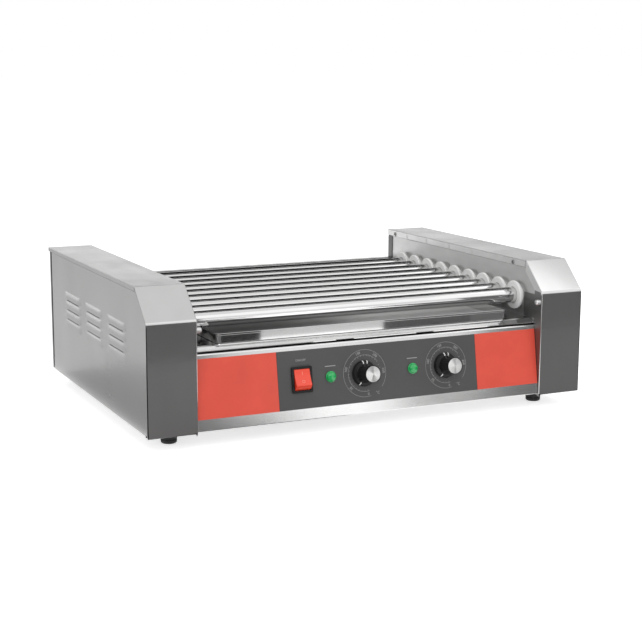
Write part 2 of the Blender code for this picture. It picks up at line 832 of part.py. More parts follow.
def add_panel_cuts(bm):
    # Through cuts for the switch, lamps and spindles, in the panel's own frame.
    low = -SHEET - CUT_MARGIN
    high = control_z + CUT_MARGIN
    half_x = SWITCH_BODY_WIDTH / 2 + CLEARANCE
    half_y = SWITCH_BODY_LENGTH / 2 + CLEARANCE
    low_corner = (SWITCH_X - half_x, CONTROL_LINE - half_y, low)
    add_box(bm, low_corner, (SWITCH_X + half_x, CONTROL_LINE + half_y, high))
    rounds = [(x, LAMP_NECK_RADIUS + CLEARANCE) for x in LAMP_X]
    rounds += [(x, SPINDLE_RADIUS + 2 * CLEARANCE) for x in KNOB_X]
    for x, radius in rounds:
        ring = circle(radius, BUSH_SIDES)
        add_loft(bm, [[(x + p, CONTROL_LINE + q, z) for p, q in ring] for z in (low, high)])


def make_front_panel(frame):
    half = inner_x - CLEARANCE
    bm = bmesh.new()
    add_prism(bm, panel_outline(), -half, half)
    panel = node("front_panel", bm, brushed_steel())
    cuts = bmesh.new()
    add_panel_cuts(cuts)
    combine(panel, helper("front_panel_cuts", cuts, frame), "DIFFERENCE")
    return panel


def make_film(name, x0, x1, finish, frame):
    bm = bmesh.new()
    add_box(bm, (x0, PLATE_BOTTOM, CLEARANCE), (x1, PLATE_TOP, control_z))
    return node(name, bm, finish, frame)


def make_front_plates(frame):
    edge = inner_x - 2 * CLEARANCE
    make_film("accent_plate_left", -edge, CONTROL_LEFT - CLEARANCE, red_film(), frame)
    make_film("accent_plate_right", CONTROL_RIGHT + CLEARANCE, edge, red_film(), frame)
    control = make_film("control_plate", CONTROL_LEFT, CONTROL_RIGHT, dark_film(), frame)
    cuts = bmesh.new()
    add_panel_cuts(cuts)
    combine(control, helper("control_plate_cuts", cuts, frame), "DIFFERENCE")


def make_switch(frame):
    place = (SWITCH_X, CONTROL_LINE, 0)
    bm = bmesh.new()
    half_x, half_y = BEZEL_WIDTH / 2, BEZEL_LENGTH / 2
    add_box(bm, (-half_x, -half_y, seat_z), (half_x, half_y, seat_z + BEZEL_PROUD))
    body = node("switch_body", bm, black_plastic(), frame, place)
    box = bmesh.new()
    half_x, half_y = SWITCH_BODY_WIDTH / 2, SWITCH_BODY_LENGTH / 2
    add_box(box, (-half_x, -half_y, -SWITCH_BODY_DEPTH), (half_x, half_y, seat_z + BEZEL_PROUD / 2))
    combine(body, helper("switch_body_box", box, frame, place), "UNION")
    pocket = bmesh.new()
    half_x = ROCKER_WIDTH / 2 + CLEARANCE
    half_y = ROCKER_RADIUS + CLEARANCE
    floor = -ROCKER_PIVOT_DEPTH - ROCKER_RADIUS - CLEARANCE
    add_box(pocket, (-half_x, -half_y, floor), (half_x, half_y, seat_z))
    combine(body, helper("switch_body_pocket", pocket, frame, place), "DIFFERENCE")
    # The mouth in the bezel is shorter than the pocket, so the rocker's round ends can't come out.
    mouth = bmesh.new()
    top = seat_z + BEZEL_PROUD + CUT_MARGIN
    add_box(mouth, (-half_x, -ROCKER_MOUTH, seat_z - CUT_MARGIN), (half_x, ROCKER_MOUTH, top))
    combine(body, helper("switch_body_mouth", mouth, frame, place), "DIFFERENCE")


def rocker_outline():
    # A round belly about the pivot under a dished face, in (up, out) points.
    start = math.pi - ROCKER_HORN
    sweep = math.pi + 2 * ROCKER_HORN
    steps = ROUND_SIDES // 2
    belly = []
    for i in range(steps + 1):
        a = start + sweep * i / steps
        belly.append((ROCKER_RADIUS * math.cos(a), ROCKER_RADIUS * math.sin(a)))
    return belly + [(0, ROCKER_RADIUS * math.sin(ROCKER_HORN) - ROCKER_DISH)]


def make_rocker(frame):
    # Stored with its upper half pressed in.
    place = (SWITCH_X, CONTROL_LINE, -ROCKER_PIVOT_DEPTH)
    pivot = empty("rocker_axis", place, (-ROCKER_TILT, 0, 0), frame)
    bm = bmesh.new()
    add_prism(bm, rocker_outline(), -ROCKER_WIDTH / 2, ROCKER_WIDTH / 2)
    return node("switch_rocker", bm, red_plastic(), pivot)


def make_lamp(name, x, frame):
    profile = [(LAMP_NECK_RADIUS, -LAMP_NECK_LENGTH), (LAMP_NECK_RADIUS, seat_z), (LAMP_RADIUS, seat_z)]
    for step in range(DOME_STEPS + 1):
        a = math.pi / 2 * step / (DOME_STEPS + 1)
        profile.append((LAMP_RADIUS * math.cos(a), seat_z + LAMP_RIM + LAMP_DOME * math.sin(a)))
    bm = bmesh.new()
    add_turned(bm, profile, BUSH_SIDES)
    return node(name, bm, green_lens(), frame, (x, CONTROL_LINE, 0))


def make_knob(name, x, frame):
    profile = [
        (SPINDLE_RADIUS, -SHEET - CLEARANCE - SPINDLE_SEAT),
        (SPINDLE_RADIUS, seat_z),
        (KNOB_SKIRT_RADIUS, seat_z),
        (KNOB_SKIRT_RADIUS, seat_z + KNOB_SKIRT_HEIGHT),
        (KNOB_BODY_RADIUS, seat_z + KNOB_SKIRT_HEIGHT),
        (KNOB_TOP_RADIUS, seat_z + KNOB_LENGTH),
    ]
    bm = bmesh.new()
    add_turned(bm, profile, ROUND_SIDES)
    axis = empty(name + "_axis", (x, CONTROL_LINE, 0), parent=frame)
    return node(name, bm, black_plastic(), axis)


def make_thermostat(name, x, frame):
    front = -SHEET - CLEARANCE
    half_x, half_y = THERMOSTAT_WIDTH / 2, THERMOSTAT_LENGTH / 2
    bm = bmesh.new()
    add_box(bm, (-half_x, -half_y, front - THERMOSTAT_DEPTH), (half_x, half_y, front))
    place = (x, CONTROL_LINE, 0)
    body = node(name, bm, dull_steel(), frame, place)
    bore = bmesh.new()
    radius = SPINDLE_RADIUS + CLEARANCE
    add_turned(bore, [(radius, front - SPINDLE_SEAT - CLEARANCE), (radius, CUT_MARGIN)], BUSH_SIDES)
    combine(body, helper(name + "_bore", bore, frame, place), "DIFFERENCE")


def make_foot(name, x, y):
    high = FOOT_HEIGHT - CLEARANCE
    bm = bmesh.new()
    add_turned(bm, [(FOOT_BASE_RADIUS, 0), (FOOT_RADIUS, high)], ROUND_SIDES)
    return node(name, bm, black_rubber(), location=(x, y, 0))


def make_housings():
    for word, side in (("left", -1), ("right", 1)):
        make_side_panel(word + "_side_panel", side)
        make_top_cover(word + "_top_cover", side)
        make_front_cap(word + "_front_cap", side)
        make_bearing_plate(word + "_bearing_plate", side)
        for number in range(1, ROLLER_COUNT + 1):
            make_bush(f"{word}_bush_{number}", number, side)
        foot_x = side * (side_x - FOOT_FROM_SIDE)
        make_foot(word + "_front_foot", foot_x, front_y + FOOT_FROM_FRONT)
        make_foot(word + "_rear_foot", foot_x, back_y - FOOT_FROM_BACK)


def make_controls():
    frame = make_panel_frame()
    make_front_panel(frame)
    make_front_plates(frame)
    make_switch(frame)
    make_rocker(frame)
    for word, lamp_x, knob_x in zip(("left", "right"), LAMP_X, KNOB_X):
        make_lamp(word + "_lamp", lamp_x, frame)
        make_knob(word + "_knob", knob_x, frame)
        make_thermostat(word + "_thermostat", knob_x, frame)


def main():
    clear_scene()
    make_base_pan()
    make_rear_panel()
    make_cable_gland()
    make_housings()
    make_deck()
    make_drip_tray()
    for number in range(1, ROLLER_COUNT + 1):
        make_roller(number)
    make_heater_bank()
    make_drive_chain()
    make_gear_motor()
    make_drive_sprocket()
    make_controls()


main()
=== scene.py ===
import math

import bmesh
import bpy
from mathutils import Matrix, Quaternion, Vector


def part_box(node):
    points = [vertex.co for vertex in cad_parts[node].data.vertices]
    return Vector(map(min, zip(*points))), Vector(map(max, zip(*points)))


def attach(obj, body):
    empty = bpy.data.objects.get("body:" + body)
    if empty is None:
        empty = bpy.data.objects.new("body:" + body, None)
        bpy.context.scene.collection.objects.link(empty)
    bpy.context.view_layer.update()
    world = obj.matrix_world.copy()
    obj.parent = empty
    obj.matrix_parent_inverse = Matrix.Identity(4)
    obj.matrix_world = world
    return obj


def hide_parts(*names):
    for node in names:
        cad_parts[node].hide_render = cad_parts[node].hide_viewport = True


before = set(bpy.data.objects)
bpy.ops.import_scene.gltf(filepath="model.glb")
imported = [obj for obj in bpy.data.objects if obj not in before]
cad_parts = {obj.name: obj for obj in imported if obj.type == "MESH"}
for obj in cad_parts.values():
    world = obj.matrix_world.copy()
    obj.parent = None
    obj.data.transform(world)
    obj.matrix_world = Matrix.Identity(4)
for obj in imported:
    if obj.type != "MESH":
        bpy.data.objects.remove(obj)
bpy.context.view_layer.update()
print("frame loaded:", len(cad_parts), "nodes")

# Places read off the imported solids. The right housing stands for both, the left one is its mirror image.
capLow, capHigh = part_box("right_front_cap")
coverLow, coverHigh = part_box("right_top_cover")
panelLow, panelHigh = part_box("front_panel")
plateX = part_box("right_bearing_plate")[0].x
innerX, sideX = capLow.x, capHigh.x
frontY, seamY, backY = capLow.y, capHigh.y, coverHigh.y
baseZ, topZ = capLow.z, capHigh.z
bothSides = (("left", -1), ("right", 1))
rollerCount = 9
sharpAngle = math.radians(40)
mm = 0.001
tiny = 1e-6
weld = 1e-7


def middleOf(node):
    low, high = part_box(node)
    return (low + high) / 2


# Shared modelling steps

def objectFrom(name, bm, finish):
    mesh = bpy.data.meshes.new(name)
    bm.to_mesh(mesh)
    bm.free()
    mesh.materials.append(finish)
    made = bpy.data.objects.new(name, mesh)
    bpy.context.scene.collection.objects.link(made)
    return made


def finishPiece(name, bm, finish, body, replaced=(), wall=0.0, edge=0.2 * mm, rings=2):
    piece = objectFrom(name, bm, finish)
    piece.data.shade_smooth()
    piece.data.set_sharp_from_angle(angle=sharpAngle)
    if wall:  # the sheet grows inwards from its outer face
        sheet = piece.modifiers.new("sheet", "SOLIDIFY")
        sheet.thickness = wall
        sheet.offset = -1
        sheet.use_even_offset = True
    if edge:
        rounded = piece.modifiers.new("edge", "BEVEL")
        rounded.width = edge
        rounded.segments = rings
        rounded.limit_method = "ANGLE"
        rounded.angle_limit = sharpAngle
    flat = piece.modifiers.new("flat", "WEIGHTED_NORMAL")
    flat.keep_sharp = True
    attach(piece, body)
    if replaced:
        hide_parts(*replaced)
    return piece


def moved(bm, verts, matrix):
    bmesh.ops.transform(bm, matrix=matrix, verts=verts)


def turnAbout(axis, degrees):
    return Matrix.Rotation(math.radians(degrees), 4, axis)


def along(direction, point=(0, 0, 0)):
    # a place whose local Z points in this direction
    turn = Vector((0, 0, 1)).rotation_difference(Vector(direction)).to_matrix().to_4x4()
    return Matrix.Translation(point) @ turn


def mirrorToSide(bm, side):
    if side < 0:
        bmesh.ops.scale(bm, vec=(-1, 1, 1), verts=bm.verts[:])
        bmesh.ops.reverse_faces(bm, faces=bm.faces[:])


def faceTowards(bm, direction):
    # turns an open sheet so that it faces this way on the whole
    bmesh.ops.recalc_face_normals(bm, faces=bm.faces[:])
    total = sum((f.normal * f.calc_area() for f in bm.faces), Vector())
    if total.dot(Vector(direction)) < 0:
        bmesh.ops.reverse_faces(bm, faces=bm.faces[:])


def faceOf(bm, points):
    return bm.faces.new([bm.verts.new(p) for p in points])


def chainOf(bm, points, closed=False):
    verts = [bm.verts.new(p) for p in points]
    pairs = list(zip(verts, verts[1:]))
    if closed:
        pairs.append((verts[-1], verts[0]))
    return [bm.edges.new(pair) for pair in pairs]


def pointsIn(geom):
    return [g for g in geom if isinstance(g, bmesh.types.BMVert)]


def drawnOut(bm, edges, run):
    # extrudes edges along a run and gives back the far edges
    made = bmesh.ops.extrude_edge_only(bm, edges=edges)["geom"]
    verts = pointsIn(made)
    bmesh.ops.translate(bm, vec=run, verts=verts)
    fresh = set(verts)
    return [g for g in made if isinstance(g, bmesh.types.BMEdge) and set(g.verts) <= fresh]


def thickened(bm, faces, run):
    # extrudes faces along a run into a solid and gives back the far points
    verts = pointsIn(bmesh.ops.extrude_face_region(bm, geom=faces)["geom"])
    bmesh.ops.translate(bm, vec=run, verts=verts)
    return verts


def foldEdges(bm, least=25):
    return [e for e in bm.edges if len(e.link_faces) == 2 and e.calc_face_angle(0) > math.radians(least)]


def roundFolds(bm, edges, radius, segments=4):
    bmesh.ops.bevel(
        bm, geom=edges, offset=radius, offset_type="OFFSET", segments=segments,
        profile=0.5, affect="EDGES", material=-1, clamp_overlap=True,
    )


def roundedPlate(bm, halfX, halfY, corner, segments):
    flat = bmesh.ops.create_grid(bm, x_segments=1, y_segments=1, size=1)["verts"]
    bmesh.ops.scale(bm, vec=(halfX, halfY, 1), verts=flat)
    bmesh.ops.bevel(
        bm, geom=bm.verts[:], offset=corner, segments=segments, profile=0.5, affect="VERTICES", material=-1,
    )


def quarter(steps):
    # cosine and sine, step by step over a quarter turn
    angles = [math.pi / 2 * i / steps for i in range(steps + 1)]
    return [(math.cos(a), math.sin(a)) for a in angles]


def turned(bm, profile, place=Matrix(), steps=48, closed=False):
    # a profile of (radius, along) points, spun round Z and then put in place
    before = set(bm.verts)
    chain = chainOf(bm, [(r, 0, h) for r, h in profile], closed)
    geom = [v for v in bm.verts if v not in before] + chain
    bmesh.ops.spin(
        bm, geom=geom, cent=(0, 0, 0), axis=(0, 0, 1), angle=2 * math.pi,
        steps=steps, use_merge=True, use_duplicate=False,
    )
    bmesh.ops.remove_doubles(bm, verts=[v for v in bm.verts if v not in before], dist=weld)
    fresh = [v for v in bm.verts if v not in before]
    faces = [f for f in bm.faces if f.verts[0] not in before]
    bmesh.ops.recalc_face_normals(bm, faces=faces)
    moved(bm, fresh, place)
    return fresh


def block(bm, low, high, place=Matrix()):
    low, high = Vector(low), Vector(high)
    size = Matrix.Diagonal((*(high - low), 1))
    middle = Matrix.Translation((low + high) / 2)
    return bmesh.ops.create_cube(bm, size=1, matrix=place @ middle @ size)["verts"]


def cutWindows(bm, faces, windows, place=Matrix()):
    # cuts rectangles (low u, high u, low v, high v) out of flat faces, u and v being the place's X and Y
    geom = set(faces)
    for index, normal in ((0, (1, 0, 0)), (2, (0, 1, 0))):
        for value in sorted({w[index + k] for w in windows for k in (0, 1)}):
            point = place @ (Vector(normal) * value)
            whole = list(geom | {e for f in geom for e in f.edges} | {v for f in geom for v in f.verts})
            cut = bmesh.ops.bisect_plane(
                bm, geom=whole, dist=weld, plane_co=point, plane_no=place.to_3x3() @ Vector(normal),
            )
            geom = {g for g in cut["geom"] if isinstance(g, bmesh.types.BMFace)}
    back = place.inverted()
    inside = []
    for f in geom:
        spot = back @ f.calc_center_median()
        if any(w[0] < spot.x < w[1] and w[2] < spot.y < w[3] for w in windows):
            inside.append(f)
    bmesh.ops.delete(bm, geom=inside, context="FACES")


# Finishes

noiseRange = (0.3, 0.7)  # where most of a noise lies


def startFinish(name):
    made = bpy.data.materials.new(name)
    made.use_nodes = True
    return made, made.node_tree, made.node_tree.nodes["Principled BSDF"]


def feed(tree, node, inputs):
    # links an input to another node's output, or sets it to a plain value
    for socket, value in inputs.items():
        if isinstance(value, bpy.types.NodeSocket):
            tree.links.new(value, node.inputs[socket])
        else:
            node.inputs[socket].default_value = value


def outputsOf(tree, kind, inputs):
    made = tree.nodes.new("ShaderNode" + kind)
    feed(tree, made, inputs)
    return made.outputs


def worked(tree, operation, first, second, clamp=False):
    # one step of arithmetic
    step = tree.nodes.new("ShaderNodeMath")
    step.operation = operation
    step.use_clamp = clamp
    feed(tree, step, {0: first, 1: second})
    return step.outputs["Value"]


def grain(tree, stretch, detail):
    spot = outputsOf(tree, "TexCoord", {})["Object"]
    stretched = outputsOf(tree, "Mapping", {"Vector": spot, "Scale": stretch})["Vector"]
    noise = {"Vector": stretched, "Scale": 1.0, "Detail": detail, "Roughness": 0.55}
    return outputsOf(tree, "TexNoise", noise)["Fac"]


def spread(tree, source, low, high, sourceRange=noiseRange):
    ends = {"From Min": sourceRange[0], "From Max": sourceRange[1], "To Min": low, "To Max": high}
    return outputsOf(tree, "MapRange", {"Value": source, **ends})["Result"]


def tint(tree, source, tones, places=noiseRange):
    # a tone for each place along the source
    ramp = tree.nodes.new("ShaderNodeValToRGB")
    stops = ramp.color_ramp.elements
    while len(stops) < len(tones):
        stops.new(0.5)
    for stop, place, tone in zip(stops, places, tones):
        stop.position = place
        stop.color = (*tone, 1)
    feed(tree, ramp, {"Fac": source})
    return ramp.outputs["Color"]


def raised(tree, source, strength, height):
    bump = {"Strength": strength, "Distance": height, "Height": source}
    return outputsOf(tree, "Bump", bump)["Normal"]


def shades(tone, *factors):
    return [tuple(c * factor for c in tone) for factor in factors]


def sheetSteel(name, tone, rough, lines, smudge=(16, 16, 7), worn=0.02):
    # rolled sheet: fine lines one way, and hand smudges that dull it
    made, tree, shader = startFinish(name)
    streaks = grain(tree, lines, 3.0)
    marks = grain(tree, smudge, 2.0)
    lined = spread(tree, streaks, rough - worn / 2, rough + worn / 2)
    feed(tree, shader, {
        "Metallic": 1.0, "Base Color": tint(tree, marks, shades(tone, 1.02, 0.95)),
        "Roughness": worked(tree, "ADD", lined, spread(tree, marks, -worn, worn)),
        "Normal": raised(tree, streaks, 0.02, 0.02 * mm),
    })
    return made


def plain(name, tone, rough, speck, strength=0.1, worn=0.06, coat=0.0, gloss=0.5):
    # moulded plastic, rubber, film or ink with a fine surface
    made, tree, shader = startFinish(name)
    fine = grain(tree, (speck, speck, speck), 2.0)
    broad = grain(tree, (22, 22, 22), 3.0)
    feed(tree, shader, {
        "Coat Weight": coat, "Specular IOR Level": gloss,
        "Base Color": tint(tree, broad, shades(tone, 0.94, 1.05)),
        "Roughness": spread(tree, broad, rough - worn, rough + worn),
        "Normal": raised(tree, fine, strength, 0.05 * mm),
    })
    return made


def spunMetal(name, tone, rough):
    # a turned face, whose gloss stretches round its centre
    made, tree, shader = startFinish(name)
    tangent = tree.nodes.new("ShaderNodeTangent")
    tangent.direction_type = "UV_MAP"
    tangent.uv_map = "round"
    fine = grain(tree, (900, 900, 900), 2.0)
    feed(tree, shader, {
        "Metallic": 1.0, "Anisotropic": 1.0, "Tangent": tangent.outputs["Tangent"],
        "Base Color": tint(tree, fine, shades(tone, 0.93, 1.05)),
        "Roughness": spread(tree, fine, rough - 0.04, rough + 0.04),
    })
    return made


# painted shade on the pan's floor: levels from dark to light, across X towards the drive end and along the
# front in Y
floorShade = {
    "metal": 0.35, "rough": (0.38, 0.46), "lines": (12, 400, 400), "spots": (25, 25, 25), "ragged": 12 * mm,
    "acrossX": (-120 * mm, 40 * mm), "inwardsY": (-200 * mm, -104 * mm),
    "places": (0.0, 0.35, 0.65, 1.0), "levels": (0.15, 0.21, 0.40, 0.74),
}


def shadedPanFloor(name):
    # the pan's floor: bare sheet with painted shade, darker along the front and towards the drive end
    made, tree, shader = startFinish(name)
    streaks = grain(tree, floorShade["lines"], 3.0)
    spot = outputsOf(tree, "TexCoord", {})["Object"]
    axes = outputsOf(tree, "SeparateXYZ", {"Vector": spot})
    ragged = spread(tree, grain(tree, floorShade["spots"], 4.0), -floorShade["ragged"], floorShade["ragged"])
    across = spread(tree, worked(tree, "ADD", axes["X"], ragged), 0, 1, floorShade["acrossX"])
    # 0 where the floor takes the darkest painted shade, 1 where it is left light
    unshaded = worked(tree, "MINIMUM", across, spread(tree, axes["Y"], 0, 1, floorShade["inwardsY"]))
    tones = [(level, level, level * 0.99) for level in floorShade["levels"]]
    feed(tree, shader, {
        "Metallic": floorShade["metal"], "Base Color": tint(tree, unshaded, tones, floorShade["places"]),
        "Roughness": spread(tree, streaks, *floorShade["rough"]),
        "Normal": raised(tree, streaks, 0.02, 0.02 * mm),
    })
    return made


steelTone = (0.58, 0.58, 0.578)
housingSteel = sheetSteel("housingSteel", steelTone, 0.25, (60, 6, 900))
frontSteel = sheetSteel("frontSteel", (0.72, 0.72, 0.717), 0.20, (6, 500, 900), (10, 30, 30))
deckSteel = sheetSteel("deckSteel", (0.76, 0.76, 0.757), 0.08, (6, 500, 900), (10, 30, 30))
wallSteel = sheetSteel("wallSteel", (0.66, 0.66, 0.657), 0.42, (500, 9, 700), (22, 18, 60), 0.05)
mirrorSteel = sheetSteel("mirrorSteel", (0.68, 0.68, 0.677), 0.05, (12, 400, 400), (20, 20, 20), 0.012)
trayFloor = shadedPanFloor("trayFloor")
capSteel = sheetSteel("capSteel", steelTone, 0.11, (60, 6, 900), worn=0.012)
flangeSteel = sheetSteel("flangeSteel", (0.80, 0.80, 0.797), 0.45, (500, 500, 9), (30, 30, 12), 0.04)
# a darkened copy of the flange steel: painted shade for the cheeks and the lower part of the caps' inner
# flanges
cheekShadeSteel = sheetSteel("cheekShadeSteel", (0.28, 0.28, 0.278), 0.45, (500, 500, 9), (30, 30, 12), 0.04)
# a darkened copy of steel: painted shade
shadedSteel = sheetSteel("shadedSteel", (0.17, 0.17, 0.169), 0.45, (60, 60, 60), (30, 30, 12), 0.04)
rollerSteel = sheetSteel("rollerSteel", (0.70, 0.70, 0.697), 0.08, (700, 30, 30), (16, 60, 60))
plainSteel = sheetSteel("plainSteel", (0.36, 0.36, 0.358), 0.42, (90, 90, 90), (40, 40, 40), 0.05)
nylonWhite = plain("nylonWhite", (0.83, 0.83, 0.82), 0.34, 700, 0.04, worn=0.04)
accentFilm = plain("accentFilm", (0.69, 0.075, 0.045), 0.42, 2600, 0.15)
darkFilm = plain("darkFilm", (0.064, 0.064, 0.064), 0.46, 2600, 0.15)
rockerRed = plain("rockerRed", (0.78, 0.055, 0.022), 0.26, 900, 0.05, coat=0.3)
lensGreen = plain("lensGreen", (0.012, 0.36, 0.09), 0.16, 500, 0.05, worn=0.03, coat=0.5)
mouldedBlack = plain("mouldedBlack", (0.012, 0.012, 0.012), 0.30, 1500, gloss=0.22)
footRubber = plain("footRubber", (0.022, 0.022, 0.022), 0.62, 900, 0.3)
paleInk = plain("paleInk", (0.33, 0.33, 0.33), 0.50, 1200, 0.05)
whiteInk = plain("whiteInk", (0.74, 0.74, 0.73), 0.45, 1200, 0.05)
rockerInk = plain("rockerInk", (0.80, 0.22, 0.155), 0.35, 1200, 0.05)
knobSilver = spunMetal("knobSilver", (0.72, 0.72, 0.715), 0.40)
print("finishes made")


# Housings: front caps, top covers, side panels with louvres, rear panel and base pan

cap = {
    "slopeDrop": 36 * mm, "innerFlange": 10 * mm, "panelFlange": 16 * mm, "outerFlange": 3 * mm,
    "sheet": 1.0 * mm, "frontBend": 3.2 * mm, "sideFold": 2.3 * mm, "innerFold": 1.0 * mm,
    "bottomReturn": 8 * mm, "cheekTop": 31 * mm, "cheekBack": -155.9 * mm, "cheekSheet": 0.5 * mm,
    "cheekGap": 0.05 * mm, "cheekLift": 0.3 * mm,
}
slopeFootZ = topZ - cap["slopeDrop"]
slopeRise = cap["slopeDrop"] / (seamY - frontY)
slopeCos = 1 / math.hypot(1, slopeRise)


def slopeAt(y, inset):
    return slopeFootZ + (y - frontY) * slopeRise - inset / slopeCos


def frontCap(word, side):
    bm = bmesh.new()
    columns = (
        (innerX, cap["panelFlange"], cap["innerFlange"]), (innerX, 0, 0), (sideX, 0, 0),
        (sideX, cap["outerFlange"], cap["outerFlange"]),
    )
    bmesh.ops.create_grid(bm, x_segments=3, y_segments=2, size=1)
    for v in bm.verts:
        x, back, down = columns[round((v.co.x + 1) * 1.5)]
        y = frontY + back
        rows = ((y, baseZ), (y, slopeAt(y, down)), (seamY, slopeAt(seamY, down)))
        v.co = (x, *rows[round(v.co.y + 1)])
    foot = [
        e for e in bm.edges
        if all(abs(v.co.z - baseZ) < tiny and abs(v.co.y - frontY) < tiny for v in e.verts)
    ]
    drawnOut(bm, foot, (0, cap["bottomReturn"], 0))
    faceTowards(bm, (0, -1, 1))
    bend = [
        e for e in foldEdges(bm) if e.calc_face_angle(0) < math.radians(60)
        and abs(e.verts[0].co.x - e.verts[1].co.x) > innerX / 10
    ]
    roundFolds(bm, bend, cap["frontBend"], 6)
    inner = [e for e in foldEdges(bm, 60) if max(v.co.x for v in e.verts) < innerX + mm]
    roundFolds(bm, inner, cap["innerFold"], 3)
    roundFolds(bm, foldEdges(bm, 60), cap["sideFold"], 4)
    bm.normal_update()
    for f in bm.faces:
        if f.normal.x < -0.9:
            # the inner flange's lower part takes the darkened cheek steel: painted shade below the upper part
            f.material_index = 1 if f.calc_center_median().z > slopeFootZ - cap["innerFlange"] else 2
    mirrorToSide(bm, side)
    piece = finishPiece(
        f"{word}_front_cap_sheet", bm, capSteel, "frame",
        [f"{word}_front_cap"], cap["sheet"],
    )
    piece.data.materials.append(flangeSteel)  # the inner flange is left dull
    # painted shade for the lower part of the inner flange
    piece.data.materials.append(cheekShadeSteel)


def innerCheek(word, side):
    # the plate beside the cap that closes the inner wall at the front, in darkened steel that paints the
    # shade there
    bm = bmesh.new()
    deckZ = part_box("deck_plate")[1].z
    outer = plateX - cap["cheekGap"]
    low = (outer - cap["cheekSheet"], frontY + cap["innerFlange"], deckZ + cap["cheekLift"])
    block(bm, low, (outer, cap["cheekBack"], deckZ + cap["cheekTop"]))
    mirrorToSide(bm, side)
    finishPiece(f"{word}_inner_cheek", bm, cheekShadeSteel, "frame", edge=0.15 * mm)


cover = {
    "innerFlange": 9 * mm, "outerFlange": 5 * mm, "sheet": 1.0 * mm, "fold": 0.5 * mm, "hem": 0.9 * mm,
    "ribPlaces": (154 * mm, 97 * mm, 34 * mm, -27 * mm, -95 * mm), "ribWidth": 1.8 * mm,
    "ribProud": 0.8 * mm, "ribRoot": 0.1 * mm, "ribDrop": 0.6 * mm, "ribShare": 0.72, "ribSteps": 8,
    "screwPlaces": (-129.5 * mm, 190 * mm), "screwDrop": 5.2 * mm,
}


def topCover(word, side):
    bm = bmesh.new()
    section = (
        (sideX, topZ - cover["outerFlange"]), (sideX, topZ),
        (innerX, topZ), (innerX, topZ - cover["innerFlange"] + cover["hem"]),
        (innerX + cover["hem"], topZ - cover["innerFlange"]),
    )
    edges = chainOf(bm, [(x, coverLow.y, z) for x, z in section])
    drawnOut(bm, edges, (0, backY - coverLow.y, 0))
    faceTowards(bm, (0, 0, 1))
    roundFolds(bm, foldEdges(bm, 60), cover["fold"], 5)
    bm.normal_update()
    for f in bm.faces:
        f.material_index = int(f.normal.x < -0.9)
    mirrorToSide(bm, side)
    piece = finishPiece(
        f"{word}_top_cover_sheet", bm, housingSteel, "frame",
        [f"{word}_top_cover"], cover["sheet"],
    )
    piece.data.materials.append(flangeSteel)


def coverRibs(word, side):
    # short pressed ribs down the cover's inner flange
    bm = bmesh.new()
    tall = cover["innerFlange"] * cover["ribShare"]
    top = topZ - cover["innerFlange"] / 2 - cover["ribDrop"] + tall / 2
    for y in cover["ribPlaces"]:
        arc = []
        for i in range(cover["ribSteps"] + 1):
            a = math.pi * i / cover["ribSteps"]
            bulge = innerX + cover["ribRoot"] - (cover["ribProud"] + cover["ribRoot"]) * math.sin(a)
            arc.append((bulge, y - math.cos(a) * cover["ribWidth"] / 2, top))
        thickened(bm, [faceOf(bm, arc)], (0, 0, -tall))
    bmesh.ops.recalc_face_normals(bm, faces=bm.faces[:])
    mirrorToSide(bm, side)
    finishPiece(f"{word}_cover_ribs", bm, flangeSteel, "frame")


screw = {
    "radius": 2.9 * mm, "flatShare": 0.62, "crown": 1.3 * mm, "rimShare": 0.35, "recess": 3.0 * mm,
    "slot": 0.75 * mm, "dip": 0.5 * mm, "proud": 0.03 * mm,
}


def screwHeads(name, places, direction):
    # pan heads with a cross recess, all facing one way; the recess is drawn as black strips that paint its
    # shade
    bm = bmesh.new()
    recessShade = bmesh.new()
    flat, low = screw["flatShare"], screw["rimShare"]
    profile = [(0, 0), (screw["radius"], 0)]
    for c, s in quarter(4):
        profile.append((screw["radius"] * (flat + (1 - flat) * c), screw["crown"] * (low + (1 - low) * s)))
    profile.append((0, screw["crown"]))
    half, thin = screw["recess"] / 2, screw["slot"] / 2
    bottom, top = screw["crown"] - screw["dip"], screw["crown"] + screw["proud"]
    for point in places:
        place = along(direction, point)
        turned(bm, profile, place, 20)
        for turn in (45, 135):
            block(recessShade, (-half, -thin, bottom), (half, thin, top), place @ turnAbout("Z", turn))
    finishPiece(name, bm, plainSteel, "frame", edge=0)
    finishPiece(name + "_recess_shade", recessShade, mouldedBlack, "frame", edge=0)


louvre = {
    "columns": 3, "rows": 4, "length": 72 * mm, "height": 9.6 * mm, "proud": 1.7 * mm, "offset": 2.5 * mm,
    "columnPitch": 92.7 * mm, "rowPitch": 12.3 * mm, "centre": 94.3 * mm, "slotLength": 53 * mm,
    "slotUp": 5.0 * mm, "slotDrop": 1.9 * mm, "lowestDrop": 0.3 * mm, "sheet": 0.9 * mm,
    "rearGap": 11 * mm, "seam": 0.9 * mm, "inset": 1.3 * mm,
}


def louvrePlaces():
    middleY = (frontY + backY) / 2 + louvre["offset"]
    for column in range(louvre["columns"]):
        y = middleY + (column - (louvre["columns"] - 1) / 2) * louvre["columnPitch"]
        for row in range(louvre["rows"]):
            z = baseZ + louvre["centre"] + (row - (louvre["rows"] - 1) / 2) * louvre["rowPitch"]
            yield y, z, row


def hood(bm, y, z, faceX):
    # a pressed hood: proud along its lower lip, running out at the top and at both ends
    made = bmesh.ops.create_grid(bm, x_segments=28, y_segments=7, size=1)["verts"]
    for v in made:
        u, t = v.co.x, (1 - v.co.y) / 2
        swell = max(0.0, 1 - abs(u) ** 7) ** 0.5
        out = louvre["proud"] * swell * math.sin(t * math.pi / 2) ** 0.9
        v.co = (faceX + out, y + u * louvre["length"] / 2, z + (0.5 - t) * louvre["height"])


